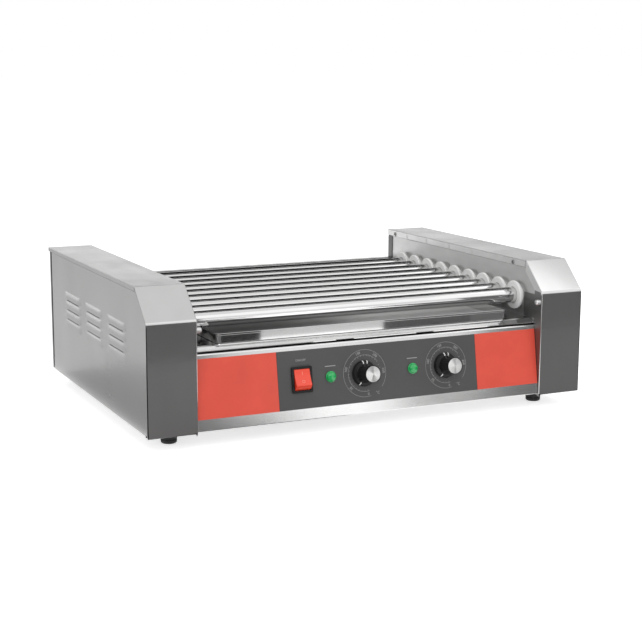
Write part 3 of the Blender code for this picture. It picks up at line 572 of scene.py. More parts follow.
def sidePanel(word, side):
    bm = bmesh.new()
    inset = louvre["inset"]
    faceX = sideX - inset
    foreEdge, backEdge = frontY + inset, backY - louvre["rearGap"]
    upperZ = topZ - cover["outerFlange"] - louvre["seam"]
    ridgeY = frontY + (upperZ - slopeFootZ + inset / slopeCos) / slopeRise
    outline = (
        (backEdge, baseZ), (foreEdge, baseZ), (foreEdge, slopeAt(foreEdge, inset)),
        (ridgeY, upperZ), (backEdge, upperZ),
    )
    faceOf(bm, [(faceX, y, z) for y, z in outline])
    slots = []
    half = louvre["slotLength"] / 2
    for y, z, row in louvrePlaces():
        lip = z - louvre["height"] / 2
        drop = louvre["slotDrop"] if row else louvre["lowestDrop"]
        slots.append((y - half, y + half, lip - drop, lip + louvre["slotUp"]))
    upright = Matrix(((0, 0, 1, faceX), (1, 0, 0, 0), (0, 1, 0, 0), (0, 0, 0, 1)))
    cutWindows(bm, bm.faces[:], slots, upright)
    faceTowards(bm, (1, 0, 0))
    for y, z, row in louvrePlaces():
        before = set(bm.faces)
        hood(bm, y, z, faceX)
        fresh = [f for f in bm.faces if f not in before]
        bmesh.ops.recalc_face_normals(bm, faces=fresh)
        if sum(f.normal.x for f in fresh) < 0:
            bmesh.ops.reverse_faces(bm, faces=fresh)
    mirrorToSide(bm, side)
    finishPiece(
        f"{word}_side_sheet", bm, housingSteel, "frame",
        [f"{word}_side_panel"], louvre["sheet"], 0.12 * mm,
    )


rear = {
    "sheet": 1.0 * mm, "sideReturn": 6.0 * mm, "upstandReturn": 12.5 * mm, "returnTop": 175.5 * mm,
    "railReturn": 12 * mm, "fold": 1.2 * mm, "glandHalf": 6.9 * mm, "railHeight": 125 * mm,
    "upstandGap": 0.3 * mm, "sideScrews": (47 * mm, 13 * mm), "screwUp": 12 * mm, "screwDown": 13 * mm,
    "footScrews": (-80 * mm, 0, 80 * mm, 160 * mm), "railScrews": (60 * mm, 200 * mm), "railDown": 10 * mm,
}


def rearPanel():
    low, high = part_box("rear_panel")
    railZ = low.z + rear["railHeight"]
    upX = innerX + rear["upstandGap"]
    bm = bmesh.new()
    outline = (
        (low.x, baseZ), (high.x, baseZ), (high.x, high.z), (upX, high.z), (upX, rear["returnTop"]),
        (upX, railZ), (-upX, railZ), (-upX, rear["returnTop"]), (-upX, high.z), (low.x, high.z),
    )
    faceOf(bm, [(x, backY, z) for x, z in outline])
    for e in list(bm.edges):
        a, b = (v.co for v in e.verts)
        upright = abs(a.x - b.x) < tiny
        if upright and abs(a.x) > sideX - 2 * mm:
            drawnOut(bm, [e], (0, -rear["sideReturn"], 0))
        elif upright and max(a.z, b.z) < rear["returnTop"] + mm:
            drawnOut(bm, [e], (0, -rear["upstandReturn"], 0))
        elif abs(a.z - railZ) < tiny and abs(b.z - railZ) < tiny:
            drawnOut(bm, [e], (0, -rear["railReturn"], 0))
    faceTowards(bm, (0, 1, 0))
    roundFolds(bm, foldEdges(bm), rear["fold"], 4)
    half, inlet = rear["glandHalf"], middleOf("cable_gland")
    flat = [f for f in bm.faces if f.normal.y > 0.99 and f.calc_area() > 100 * mm * mm]
    window = (inlet.x - half, inlet.x + half, inlet.z - half, inlet.z + half)
    cutWindows(bm, flat, [window], Matrix(((1, 0, 0, 0), (0, 0, 1, backY), (0, 1, 0, 0), (0, 0, 0, 1))))
    bm.normal_update()
    for f in bm.faces:
        f.material_index = int(abs(f.normal.x) > 0.9 and abs(f.calc_center_median().x) < upX + mm)
    piece = finishPiece(
        "rear_panel_sheet", bm, housingSteel, "frame", ["rear_panel"], rear["sheet"],
    )
    piece.data.materials.append(shadedSteel)  # the upstands' returns are painted darker: painted shade
    footZ = baseZ + rear["screwUp"]
    heights = (footZ, topZ - rear["screwDown"])
    spots = [(s * (sideX - x), backY, z) for s in (-1, 1) for x in rear["sideScrews"] for z in heights]
    spots += [(x, backY, footZ) for x in rear["footScrews"]]
    spots += [(s * x, backY, railZ - rear["railDown"]) for s in (-1, 1) for x in rear["railScrews"]]
    screwHeads("rear_screws", spots, (0, 1, 0))


pan = {"sheet": 1.2 * mm, "flange": 15 * mm, "fold": 1.6 * mm, "front": 10.3 * mm}


def basePan():
    low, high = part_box("base_pan")
    upZ = baseZ + pan["flange"]
    bm = bmesh.new()
    section = ((low.x, upZ), (low.x, baseZ), (high.x, baseZ), (high.x, upZ))
    edges = chainOf(bm, [(x, frontY + pan["front"], z) for x, z in section])
    drawnOut(bm, edges, (0, high.y - frontY - pan["front"], 0))
    faceTowards(bm, (0, 0, -1))
    roundFolds(bm, foldEdges(bm), pan["fold"], 4)
    finishPiece("base_pan_sheet", bm, plainSteel, "frame", ["base_pan"], pan["sheet"])


gland = {
    "lip": 2.0 * mm, "gap": 0.3 * mm, "radius": 11 * mm, "neck": 6.8 * mm, "depth": 12 * mm, "bore": 4 * mm,
    "rim": 0.8 * mm, "mouth": 1.6 * mm, "slope": 2.2 * mm,
}


def cableGland():
    bm = bmesh.new()
    spot = middleOf("cable_gland")
    gap, bore, radius = gland["gap"], gland["bore"], gland["radius"]
    outer = gap + gland["lip"]
    profile = (
        (bore, outer - gland["rim"]), (bore + gland["mouth"], outer), (radius - gland["slope"], outer),
        (radius, gap + gland["rim"]), (radius, gap),
        (gland["neck"], gap), (gland["neck"], -gland["depth"]), (bore, -gland["depth"]),
    )
    turned(bm, profile, along((0, 1, 0), (spot.x, backY, spot.z)), 40, closed=True)
    finishPiece("cord_gland", bm, mouldedBlack, "frame", ["cable_gland"], edge=0.25 * mm)


foot = {
    "base": 9.4 * mm, "edge": 1.3 * mm, "dimple": 3.2 * mm, "dimpleRim": 4.2 * mm, "dimpleDeep": 0.9 * mm,
    "swell": 0.2 * mm, "groove": 4.2 * mm, "grooveDeep": 0.7 * mm, "grooveTall": 1.0 * mm, "lip": 0.3 * mm,
    "topTall": 1.2 * mm, "topEdge": 0.9 * mm,
}


def rubberFoot(name):
    low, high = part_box(name)
    base, top, lip = foot["base"], (high.x - low.x) / 2, foot["lip"]
    groove, grooveTop, deep = foot["groove"], foot["groove"] + foot["grooveTall"], base - foot["grooveDeep"]
    bm = bmesh.new()
    profile = (
        (0, foot["dimpleDeep"]), (foot["dimple"], foot["dimpleDeep"]), (foot["dimpleRim"], 0),
        (base - foot["edge"], 0), (base, foot["edge"]), (base + foot["swell"], groove), (deep, groove + lip),
        (deep, grooveTop), (base + lip, grooveTop + lip), (top, high.z - foot["topTall"]),
        (top - foot["topEdge"], high.z), (0, high.z),
    )
    spot = (low + high) / 2
    turned(bm, profile, Matrix.Translation((spot.x, spot.y, 0)), 40)
    finishPiece(name + "_rubber", bm, footRubber, "frame", [name], edge=0.25 * mm)


for word, side in bothSides:
    frontCap(word, side)
    innerCheek(word, side)
    topCover(word, side)
    coverRibs(word, side)
    sidePanel(word, side)
    spots = [(side * innerX, y, topZ - cover["screwDrop"]) for y in cover["screwPlaces"]]
    screwHeads(f"{word}_cover_screws", spots, (-side, 0, 0))
    for end in ("front", "rear"):
        rubberFoot(f"{word}_{end}_foot")
rearPanel()
basePan()
cableGland()
print("housings made")


# Rollers and their bushes

roller = {
    "radius": 10 * mm, "wall": 1.2 * mm, "sides": 72, "teeth": 9, "sprocket": 4 * mm, "root": 10.9 * mm,
    "tip": 15.8 * mm,
}


def rollerTube(number):
    node = f"roller_{number}"
    low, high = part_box(node)
    axis = middleOf(f"right_bush_{number}")
    chainX = middleOf("drive_chain").x
    radius, inner = roller["radius"], roller["radius"] - roller["wall"]
    bm = bmesh.new()
    ends = ((radius, low.x), (radius, high.x), (inner, high.x), (inner, low.x))
    turned(bm, ends, along((1, 0, 0), (0, axis.y, axis.z)), roller["sides"], closed=True)
    corners = roller["teeth"] * 4
    wheel = bmesh.ops.create_circle(bm, cap_ends=True, radius=roller["tip"], segments=corners)["verts"]
    for i, v in enumerate(wheel):
        if i % 4 == 0:
            v.co *= roller["root"] / roller["tip"]
    disc = [f for f in bm.faces if set(f.verts) <= set(wheel)]
    wheel += thickened(bm, disc, (0, 0, roller["sprocket"]))
    bmesh.ops.recalc_face_normals(bm, faces=list({f for v in wheel for f in v.link_faces}))
    moved(bm, wheel, along((1, 0, 0), (chainX - roller["sprocket"] / 2, axis.y, axis.z)))
    finishPiece(node + "_tube", bm, rollerSteel, node, [node], edge=0.25 * mm)


bush = {
    "collar": 18 * mm, "bore": 10.3 * mm, "discLong": 2.6 * mm, "edge": 1.2 * mm, "grooveLong": 0.4 * mm,
    "grooveDeep": 1.0 * mm, "ringLong": 0.6 * mm, "shoulder": 13 * mm, "neck": 12.7 * mm,
    "seatGap": 0.3 * mm, "arcSteps": 5,
}


def collarBush(word, side, number):
    node = f"{word}_bush_{number}"
    low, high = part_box(node)
    spot = middleOf(node)
    near, far = (low.x, high.x) if side > 0 else (-high.x, -low.x)
    seat = plateX - bush["seatGap"]
    disc = near + bush["discLong"]
    groove = disc + bush["grooveLong"]
    ring = groove + bush["ringLong"]
    collar, edge, bore = bush["collar"], bush["edge"], bush["bore"]
    deep = collar - bush["grooveDeep"]
    profile = [(bore, near)]
    profile += [(collar - edge * (1 - s), near + edge * (1 - c)) for c, s in quarter(bush["arcSteps"])]
    profile += [
        (collar, disc), (deep, disc), (deep, groove), (collar, groove), (collar, ring),
        (bush["shoulder"], ring), (bush["shoulder"], seat),
        (bush["neck"], seat), (bush["neck"], far), (bore, far),
    ]
    bm = bmesh.new()
    turned(bm, profile, along((1, 0, 0)), 48, closed=True)
    mirrorToSide(bm, side)
    moved(bm, bm.verts[:], Matrix.Translation((0, spot.y, spot.z)))
    finishPiece(node + "_collar", bm, nylonWhite, "frame", [node])


for number in range(1, rollerCount + 1):
    rollerTube(number)
    for word, side in bothSides:
        collarBush(word, side, number)
print("rollers made")


# Deck and drip tray

deck = {
    "sheet": 1.0 * mm, "front": 25 * mm, "lipRun": 9 * mm, "lipDrop": 4.5 * mm, "flange": 8 * mm,
    "flangeBend": 1.0 * mm, "bend": 2.0 * mm,
}


def deckPlate():
    low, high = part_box("deck_plate")
    bendY = frontY + deck["front"]
    bm = bmesh.new()
    section = ((high.y, high.z), (bendY, high.z), (bendY - deck["lipRun"], high.z - deck["lipDrop"]))
    edges = chainOf(bm, [(low.x, y, z) for y, z in section])
    far = drawnOut(bm, edges, (high.x - low.x, 0, 0))
    drawnOut(bm, edges, (0, 0, -deck["flange"]))
    drawnOut(bm, far, (0, 0, -deck["flange"]))
    faceTowards(bm, (0, 0, 1))
    roundFolds(bm, foldEdges(bm, 60), deck["flangeBend"], 3)
    bend = [e for e in foldEdges(bm, 24) if abs(e.verts[0].co.x - e.verts[1].co.x) > innerX]
    roundFolds(bm, bend, deck["bend"], 5)
    finishPiece("deck_sheet", bm, deckSteel, "frame", ["deck_plate"], deck["sheet"])


tray = {"hem": 0.8 * mm, "hemTall": 2.2 * mm, "sheet": 1.0 * mm, "corner": 5.8 * mm, "floorBend": 0.4 * mm}


def trayPan():
    low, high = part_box("drip_tray")
    half = (high - low) / 2
    middle = (low + high) / 2
    tall = high.z - low.z
    nearFloor = tray["sheet"] * 1.1
    bm = bmesh.new()
    roundedPlate(bm, half.x - tray["hem"], half.y - tray["hem"], tray["corner"], 8)
    ring = [e for e in bm.edges if e.is_boundary]

    def step(edges, lift, grow):
        # carries the open edge up and outwards, keeping its rounded corners
        fresh = drawnOut(bm, edges, (0, 0, lift))
        verts = list({v for e in fresh for v in e.verts})
        wide = max(v.co.x for v in verts)
        deep = max(v.co.y for v in verts)
        bmesh.ops.scale(bm, vec=((wide + grow) / wide, (deep + grow) / deep, 1), verts=verts)
        return fresh

    ring = step(ring, tall - tray["hemTall"], 0)
    ring = step(ring, 0, tray["hem"])
    ring = step(ring, tray["hemTall"], 0)
    ring = step(ring, 0, -tray["hem"] - tray["sheet"])
    ring = step(ring, tray["sheet"] - tall, 0)
    bmesh.ops.holes_fill(bm, edges=ring, sides=0)
    bmesh.ops.recalc_face_normals(bm, faces=bm.faces[:])
    bottom = [e for e in foldEdges(bm, 60) if max(v.co.z for v in e.verts) < nearFloor]
    roundFolds(bm, bottom, tray["floorBend"], 4)
    bm.normal_update()
    for f in bm.faces:
        f.material_index = int(f.normal.z > 0.9 and f.calc_center_median().z < nearFloor)
    moved(bm, bm.verts[:], Matrix.Translation((middle.x, middle.y, low.z)))
    piece = finishPiece(
        "tray_pan", bm, mirrorSteel, "drip_tray", ["drip_tray"], edge=0.3 * mm,
    )
    piece.data.materials.append(trayFloor)  # the floor of the pan is duller than its walls, and carries painted shade towards the front and the drive end


stud = {"radius": 3.4 * mm, "tall": 6.5 * mm, "crown": 2.2 * mm, "back": 4.4 * mm, "z": 137 * mm, "steps": 6}


def capStuds():
    # rivet heads inside the caps, one beyond each end of the pan
    bm = bmesh.new()
    profile = [(0, 0), (stud["radius"], 0)]
    for c, s in quarter(stud["steps"])[:-1]:
        profile.append((stud["radius"] - stud["crown"] * (1 - c), stud["tall"] - stud["crown"] * (1 - s)))
    profile.append((0, stud["tall"]))
    for word, side in bothSides:
        spot = (side * innerX, frontY + stud["back"], stud["z"])
        turned(bm, profile, along((-side, 0, 0), spot), 28)
    finishPiece("cap_studs", bm, flangeSteel, "frame", edge=0)


deckPlate()
trayPan()
capStuds()
print("deck and tray made")


# Leaning front panel with its controls. In panelPlace, X is to the right, Y up the panel and Z out of it.

panel = {
    "lean": 9.0, "sheet": 1.0 * mm, "topBend": 2.4 * mm, "footBend": 1.4 * mm, "topFlange": 40 * mm,
    "controlLine": 48.6 * mm, "seat": 1.2 * mm, "filmTop": 0.9 * mm,
    "switchHalf": (11.1 * mm, 15.1 * mm), "lampHalf": 4.6 * mm, "spindleHalf": 3.8 * mm,
}
panelPlace = Matrix.Translation((0, panelLow.y, baseZ)) @ turnAbout("X", 90 - panel["lean"])
controlLine = panel["controlLine"]
lampX = [middleOf(f"{word}_lamp").x for word, side in bothSides]
knobX = [middleOf(f"{word}_knob").x for word, side in bothSides]
switchX = middleOf("switch_body").x


def onPanel(x, up=0.0, out=0.0):
    return panelPlace @ Matrix.Translation((x, controlLine + up, out))


def frontPanel():
    bm = bmesh.new()
    crest = Vector((0, (panelHigh.z - baseZ) / math.cos(math.radians(panel["lean"])), 0))
    crestAt = panelPlace @ crest
    backFoot = Vector((0, frontY + cap["innerFlange"], baseZ))
    points = (backFoot, panelPlace @ Vector(), crestAt, crestAt + Vector((0, panel["topFlange"], 0)))
    edges = chainOf(bm, [(panelLow.x, p.y, p.z) for p in points])
    drawnOut(bm, edges, (panelHigh.x - panelLow.x, 0, 0))
    faceTowards(bm, (0, -1, 0))
    crestFold = [e for e in foldEdges(bm) if e.verts[0].co.z > crestAt.z - mm]
    roundFolds(bm, crestFold, panel["topBend"], 6)
    footFold = [e for e in foldEdges(bm) if e.verts[0].co.z < baseZ + mm]
    roundFolds(bm, footFold, panel["footBend"], 4)
    halves = [(switchX, *panel["switchHalf"])]
    halves += [(x, panel["lampHalf"], panel["lampHalf"]) for x in lampX]
    halves += [(x, panel["spindleHalf"], panel["spindleHalf"]) for x in knobX]
    windows = [(x - w, x + w, controlLine - h, controlLine + h) for x, w, h in halves]
    lean = panelPlace.to_3x3() @ Vector((0, 0, 1))
    bm.normal_update()
    face = [max(bm.faces, key=lambda f: f.calc_area() * (f.normal.dot(lean) > 0.99))]
    cutWindows(bm, face, windows, panelPlace)
    finishPiece(
        "front_panel_sheet", bm, frontSteel, "frame", ["front_panel"], panel["sheet"],
    )


switch = {
    "width": 26 * mm, "tall": 31 * mm, "corner": 1.8 * mm, "frame": 2.7 * mm, "proud": 2.0 * mm,
    "pocket": 9 * mm, "mouthFlare": 0.7 * mm, "pocketFlare": 0.8 * mm, "wall": 0.9 * mm,
    "rockerWidth": 20 * mm, "rockerRadius": 13.7 * mm, "pivotDepth": 3.25 * mm, "horn": 45.0, "tilt": -16.0,
    "dish": 1.0 * mm, "backSteps": 22, "dishSteps": 12,
}


def switchBezel():
    bm = bmesh.new()
    roundedPlate(bm, switch["width"] / 2, switch["tall"] / 2, switch["corner"], 5)
    bmesh.ops.inset_region(bm, faces=bm.faces[:], thickness=switch["frame"], use_boundary=True)
    outer = [e for e in bm.edges if e.is_boundary]
    inner = [f for f in bm.faces if not any(e.is_boundary for e in f.edges)]
    rim = [e for f in inner for e in f.edges]
    bmesh.ops.delete(bm, geom=inner, context="FACES_ONLY")
    drawnOut(bm, outer, (0, 0, -switch["proud"]))
    for drop, flare in ((switch["proud"], switch["mouthFlare"]), (switch["pocket"], switch["pocketFlare"])):
        rim = drawnOut(bm, rim, (0, 0, -drop))
        verts = list({v for e in rim for v in e.verts})
        half = max(v.co.y for v in verts)
        bmesh.ops.scale(bm, vec=(1, (half + flare) / half, 1), verts=verts)
    faceTowards(bm, (0, 0, 1))
    moved(bm, bm.verts[:], onPanel(switchX, 0, panel["seat"] + switch["proud"]))
    finishPiece(
        "switch_bezel", bm, mouldedBlack, "frame", ["switch_body"], switch["wall"],
        edge=0.45 * mm, rings=3,
    )


def rockerPlace():
    return onPanel(switchX, 0, -switch["pivotDepth"]) @ turnAbout("X", switch["tilt"])


def rockerDish(up):
    # how far the rocker's hollow face stands out from the pivot at this height
    horn = math.radians(switch["horn"])
    half = switch["rockerRadius"] * math.cos(horn)
    bow = (half ** 2 + switch["dish"] ** 2) / (2 * switch["dish"])
    bottom = switch["rockerRadius"] * math.sin(horn) - switch["dish"]
    return bottom + bow - math.sqrt(bow ** 2 - up ** 2)


def rocker():
    bm = bmesh.new()
    horn = math.radians(switch["horn"])
    radius, wide = switch["rockerRadius"], switch["rockerWidth"]
    outline = []
    for i in range(switch["backSteps"] + 1):
        a = math.pi - horn + (math.pi + 2 * horn) * i / switch["backSteps"]
        outline.append((radius * math.cos(a), radius * math.sin(a)))
    half = radius * math.cos(horn)
    for i in range(1, switch["dishSteps"]):
        up = half * (1 - 2 * i / switch["dishSteps"])
        outline.append((up, rockerDish(up)))
    thickened(bm, [faceOf(bm, [(-wide / 2, up, out) for up, out in outline])], (wide, 0, 0))
    bmesh.ops.recalc_face_normals(bm, faces=bm.faces[:])
    moved(bm, bm.verts[:], rockerPlace())
    finishPiece(
        "rocker_cap", bm, rockerRed, "switch_rocker", ["switch_rocker"],
        edge=0.6 * mm, rings=3,
    )


mark = {
    "bar": 5.2 * mm, "ring": -4.8 * mm, "half": 1.9 * mm, "inner": 1.3 * mm, "thin": 0.35 * mm,
    "ink": 0.04 * mm, "lift": 0.02 * mm,
}


def markPlace(up):
    slope = math.atan2(rockerDish(up + mm) - rockerDish(up - mm), 2 * mm)
    spot = Matrix.Translation((0, up, rockerDish(up) + mark["lift"]))
    return rockerPlace() @ spot @ Matrix.Rotation(slope, 4, "X")


def rockerMarks():
    # a bar on one half and a ring on the other
    bm = bmesh.new()
    half, inner, thin, ink = mark["half"], mark["inner"], mark["thin"], mark["ink"]
    block(bm, (-thin, -half, 0), (thin, half, ink), markPlace(mark["bar"]))
    band = ((inner, 0), (half, 0), (half, ink), (inner, ink))
    turned(bm, band, markPlace(mark["ring"]), 32, closed=True)
    finishPiece("rocker_marks", bm, rockerInk, "switch_rocker", edge=0)


lamp = {
    "radius": 6.7 * mm, "rim": 1.8 * mm, "dome": 3.4 * mm, "neck": 4.5 * mm, "neckLong": 24 * mm,
    "rimShare": 0.55, "stepShare": 0.75, "stepRadius": 0.93, "domeRadius": 0.86, "domeSteps": 8,
}


def lampLens(word, x):
    bm = bmesh.new()
    radius, neck, rim = lamp["radius"], lamp["neck"], lamp["rim"]
    domeR, stepTall = radius * lamp["domeRadius"], rim * lamp["stepShare"]
    profile = [(0, -lamp["neckLong"]), (neck, -lamp["neckLong"]), (neck, 0), (radius, 0)]
    profile += [(radius, rim * lamp["rimShare"]), (radius * lamp["stepRadius"], stepTall), (domeR, stepTall)]
    profile += [(domeR * c, rim + lamp["dome"] * s) for c, s in quarter(lamp["domeSteps"])]
    turned(bm, profile, onPanel(x, 0, panel["seat"]), 48)
    finishPiece(f"{word}_lamp_lens", bm, lensGreen, "frame", [f"{word}_lamp"])


knob = {
    "skirt": 15.5 * mm, "skirtTall": 5.0 * mm, "skirtDrop": 2.2 * mm, "skirtEdge": 1.2 * mm,
    "skirtFall": 0.5 * mm, "body": 11.2 * mm, "fillet": 0.8 * mm, "filletTall": 0.6 * mm,
    "top": 10.6 * mm, "taper": 0.15 * mm, "length": 25.5 * mm, "rimTall": 1.2 * mm, "rimEdge": 0.6 * mm,
    "gripEnd": 1.0 * mm, "spindle": 3.0 * mm, "seatDeep": 13.3 * mm, "flutes": 24, "fluteDeep": 0.35 * mm,
    "cap": 9.7 * mm, "capDeep": 1.0 * mm, "capSunk": 0.35 * mm, "capGap": 0.15 * mm,
    "capEdge": (0.5 * mm, 0.3 * mm),
    "marks": ((9, 1.4 * mm), (-13, 1.4 * mm), (148, 1.3 * mm)), "markThick": 0.08 * mm,
}
skirtLine = (  # the skirt's face, from its rim inwards
    (knob["skirt"], knob["skirtTall"] - knob["skirtDrop"]),
    (knob["skirt"] - knob["skirtEdge"], knob["skirtTall"] - knob["skirtFall"]),
    (knob["body"] + knob["fillet"], knob["skirtTall"]),
)


def knobGrip(node, place):
    bm = bmesh.new()
    length, top, capFloor = knob["length"], knob["top"], knob["length"] - knob["capDeep"]
    rim, stemEnd = length - knob["rimTall"], -panel["seat"] - knob["seatDeep"]
    gripLow, gripHigh = knob["skirtTall"] + knob["filletTall"], rim - knob["gripEnd"]
    profile = (
        (0, stemEnd), (knob["spindle"], stemEnd), (knob["spindle"], 0), (knob["skirt"], 0), *skirtLine,
        (knob["body"], gripLow), (top + knob["taper"], gripHigh), (top, rim), (top - knob["rimEdge"], length),
        (knob["cap"], length), (knob["cap"], capFloor), (0, capFloor),
    )
    steps = knob["flutes"] * 4
    for v in turned(bm, profile, Matrix(), steps):
        around = math.atan2(v.co.y, v.co.x) / (2 * math.pi) * steps
        if gripLow - tiny < v.co.z < gripHigh + tiny and round(around) % 4 == 0:
            v.co.x *= 1 - knob["fluteDeep"] / top
            v.co.y *= 1 - knob["fluteDeep"] / top
    moved(bm, bm.verts[:], place)
    finishPiece(node + "_grip", bm, mouldedBlack, node, [node], edge=0.25 * mm)


def knobDisc(node, place):
    bm = bmesh.new()
    low, high = knob["length"] - knob["capDeep"], knob["length"] - knob["capSunk"]
    rim = knob["cap"] - knob["capGap"]
    inwards, down = knob["capEdge"]
    turned(bm, ((0, low), (rim, low), (rim, high - down), (rim - inwards, high), (0, high)), Matrix(), 72)
    roundMap = bm.loops.layers.uv.new("round")
    for f in bm.faces:
        for loop in f.loops:
            spot = f.calc_center_median().lerp(loop.vert.co, 0.98)
            loop[roundMap].uv = (math.atan2(spot.y, spot.x) / (2 * math.pi), spot.xy.length / knob["cap"])
    moved(bm, bm.verts[:], place)
    finishPiece(node + "_disc", bm, knobSilver, node, edge=0)


def knobMarks(node, place):
    # strokes that follow the skirt's face from the grip out to its rim
    bm = bmesh.new()
    for turn, wide in knob["marks"]:
        for (farR, farZ), (nearR, nearZ) in zip(skirtLine, skirtLine[1:]):
            lean = Matrix.Rotation(math.atan2(farZ - nearZ, farR - nearR), 4, "X")
            run = math.hypot(farR - nearR, farZ - nearZ)
            face = turnAbout("Z", turn) @ Matrix.Translation((0, nearR, nearZ)) @ lean
            block(bm, (-wide / 2, 0, 0), (wide / 2, run, knob["markThick"]), place @ face)
    finishPiece(node + "_marks", bm, whiteInk, node, edge=0)


dial = {
    "outer": 28.4 * mm, "inner": 22.0 * mm, "line": 0.32 * mm, "ink": 0.05 * mm, "lift": 0.03 * mm,
    "numbers": ((172, "0"), (229, "50"), (284, "100"), (342, "150"), (36, "200"), (87, "250")),
    "numberSize": 4.4 * mm, "numberRadius": 25.2 * mm, "shift": 1.5 * mm,
    "unit": "°C", "unitSize": 4.6 * mm, "unitAngle": 147, "unitRadius": 29.5 * mm,
    "arcStart": 166, "arcTurn": 322, "innerTurn": 247,
    "ticks": 25, "tickStart": 172, "tickTurn": 275, "tick": 1.5 * mm, "longTick": 2.2 * mm, "longEvery": 5,
    "captionUp": 12.6 * mm, "captionHalf": (7.0 * mm, 0.45 * mm),
    "switchWords": "ON/OFF", "switchSize": 3.6 * mm, "switchUp": 22.6 * mm,
}


def lettering(bm, words, size, place):
    curve = bpy.data.curves.new("lettering", "FONT")
    curve.body = words
    curve.size = size
    curve.align_x = "CENTER"
    curve.align_y = "CENTER"
    curve.extrude = dial["ink"] / 2
    shape = bpy.data.objects.new("lettering", curve)
    bpy.context.scene.collection.objects.link(shape)
    bpy.context.view_layer.update()
    mesh = bpy.data.meshes.new_from_object(shape.evaluated_get(bpy.context.evaluated_depsgraph_get()))
    before = set(bm.verts)
    bm.from_mesh(mesh)
    moved(bm, [v for v in bm.verts if v not in before], place)
    bpy.data.objects.remove(shape)
    bpy.data.curves.remove(curve)
    bpy.data.meshes.remove(mesh)


def arcLine(bm, radius, start, sweep, place):
    # a printed line round a dial, from a clockwise start angle over a clockwise sweep
    before = set(bm.verts)
    half = dial["line"] / 2
    section = chainOf(bm, [(radius - half, 0, 0), (radius + half, 0, 0)])
    geom = [v for v in bm.verts if v not in before] + section
    bmesh.ops.spin(
        bm, geom=geom, cent=(0, 0, 0), axis=(0, 0, 1), angle=-math.radians(sweep),
        steps=max(3, round(sweep / 4)), use_merge=False, use_duplicate=False,
    )
    fresh = [v for v in bm.verts if v not in before]
    faces = [f for f in bm.faces if f.verts[0] not in before]
    bmesh.ops.recalc_face_normals(bm, faces=faces)
    if faces[0].normal.z < 0:
        bmesh.ops.reverse_faces(bm, faces=faces)
    moved(bm, fresh, place @ turnAbout("Z", 90 - start))


def roundDial(angle, radius):
    # a place on a dial, at a clockwise angle from the top
    return turnAbout("Z", -angle) @ Matrix.Translation((0, radius, 0))


def dialScale(bm, centre):
    thin, ink = dial["line"] / 2, dial["ink"] / 2
    arcLine(bm, dial["outer"], dial["arcStart"], dial["arcTurn"], centre)
    arcLine(bm, dial["inner"], dial["arcStart"], dial["innerTurn"], centre)
    for angle, words in dial["numbers"]:
        lettering(bm, words, dial["numberSize"], centre @ roundDial(angle, dial["numberRadius"]))
    for tick in range(dial["ticks"] + 1):
        angle = dial["tickStart"] + tick * dial["tickTurn"] / dial["ticks"]
        tall = dial["tick"] if tick % dial["longEvery"] else dial["longTick"]
        block(bm, (-thin, -tall, 0), (thin, 0, ink), centre @ roundDial(angle, dial["inner"]))
    upright = roundDial(dial["unitAngle"], dial["unitRadius"]) @ turnAbout("Z", dial["unitAngle"])
    lettering(bm, dial["unit"], dial["unitSize"], centre @ upright)


def dialPrint():
    bm = bmesh.new()
    film = panel["filmTop"] + dial["lift"]
    for x in knobX:
        dialScale(bm, onPanel(x + dial["shift"], 0, film))
    half, thin = dial["captionHalf"]
    for x in lampX:
        block(bm, (-half, -thin, 0), (half, thin, dial["ink"] / 2), onPanel(x, dial["captionUp"], film))
    lettering(bm, dial["switchWords"], dial["switchSize"], onPanel(switchX, dial["switchUp"], film))
    finishPiece("dial_print", bm, paleInk, "frame", edge=0)


frontPanel()
switchBezel()
rocker()
rockerMarks()
for (word, side), lampAt, knobAt in zip(bothSides, lampX, knobX):
    lampLens(word, lampAt)
    for makePiece in (knobGrip, knobDisc, knobMarks):
        makePiece(f"{word}_knob", onPanel(knobAt, 0, panel["seat"]))
dialPrint()
print("front panel and controls made")


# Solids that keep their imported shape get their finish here

keptFinishes = {
    "control_plate": darkFilm, "accent_plate_left": accentFilm, "accent_plate_right": accentFilm,
    "left_bearing_plate": wallSteel, "right_bearing_plate": wallSteel, "drive_chain": plainSteel,
    "drive_sprocket": plainSteel, "gear_motor": plainSteel, "heater_bank": plainSteel,
    "left_thermostat": plainSteel, "right_thermostat": plainSteel,
}
for name, finish in keptFinishes.items():
    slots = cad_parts[name].data.materials
    slots.clear()
    slots.append(finish)
print("kept solids finished")


# Studio: pale floor, white surround, soft lamps, and cards that only shape the reflections

studio = {"floorHalf": 30.0, "floorTone": 0.86, "floorGlow": 0.62, "surround": 1.0, "ambient": 0.78}


def seenDirectly(tree):
    # 1 for rays from the camera, in reflections and through clear parts, and 0 for the light on surfaces
    rays = outputsOf(tree, "LightPath", {})
    mirrored = worked(tree, "ADD", rays["Is Camera Ray"], rays["Is Glossy Ray"], True)
    return worked(tree, "ADD", mirrored, rays["Is Transmission Ray"], True)


def dullPaper(name, tone):
    made, tree, shader = startFinish(name)
    feed(tree, shader, {"Base Color": (tone, tone, tone, 1), "Roughness": 0.9, "Specular IOR Level": 0.0})
    return made


def studioFloor():
    bm = bmesh.new()
    bmesh.ops.create_grid(bm, x_segments=1, y_segments=1, size=studio["floorHalf"])
    paper = dullPaper("floorPaper", studio["floorTone"])
    tree = paper.node_tree
    strength = worked(tree, "MULTIPLY", seenDirectly(tree), studio["floorGlow"])
    glow = outputsOf(tree, "Emission", {"Strength": strength})["Emission"]
    matt = tree.nodes["Principled BSDF"].outputs["BSDF"]
    both = outputsOf(tree, "AddShader", {0: matt, 1: glow})["Shader"]
    feed(tree, tree.nodes["Material Output"], {"Surface": both})
    floor = objectFrom("studio_floor", bm, paper)


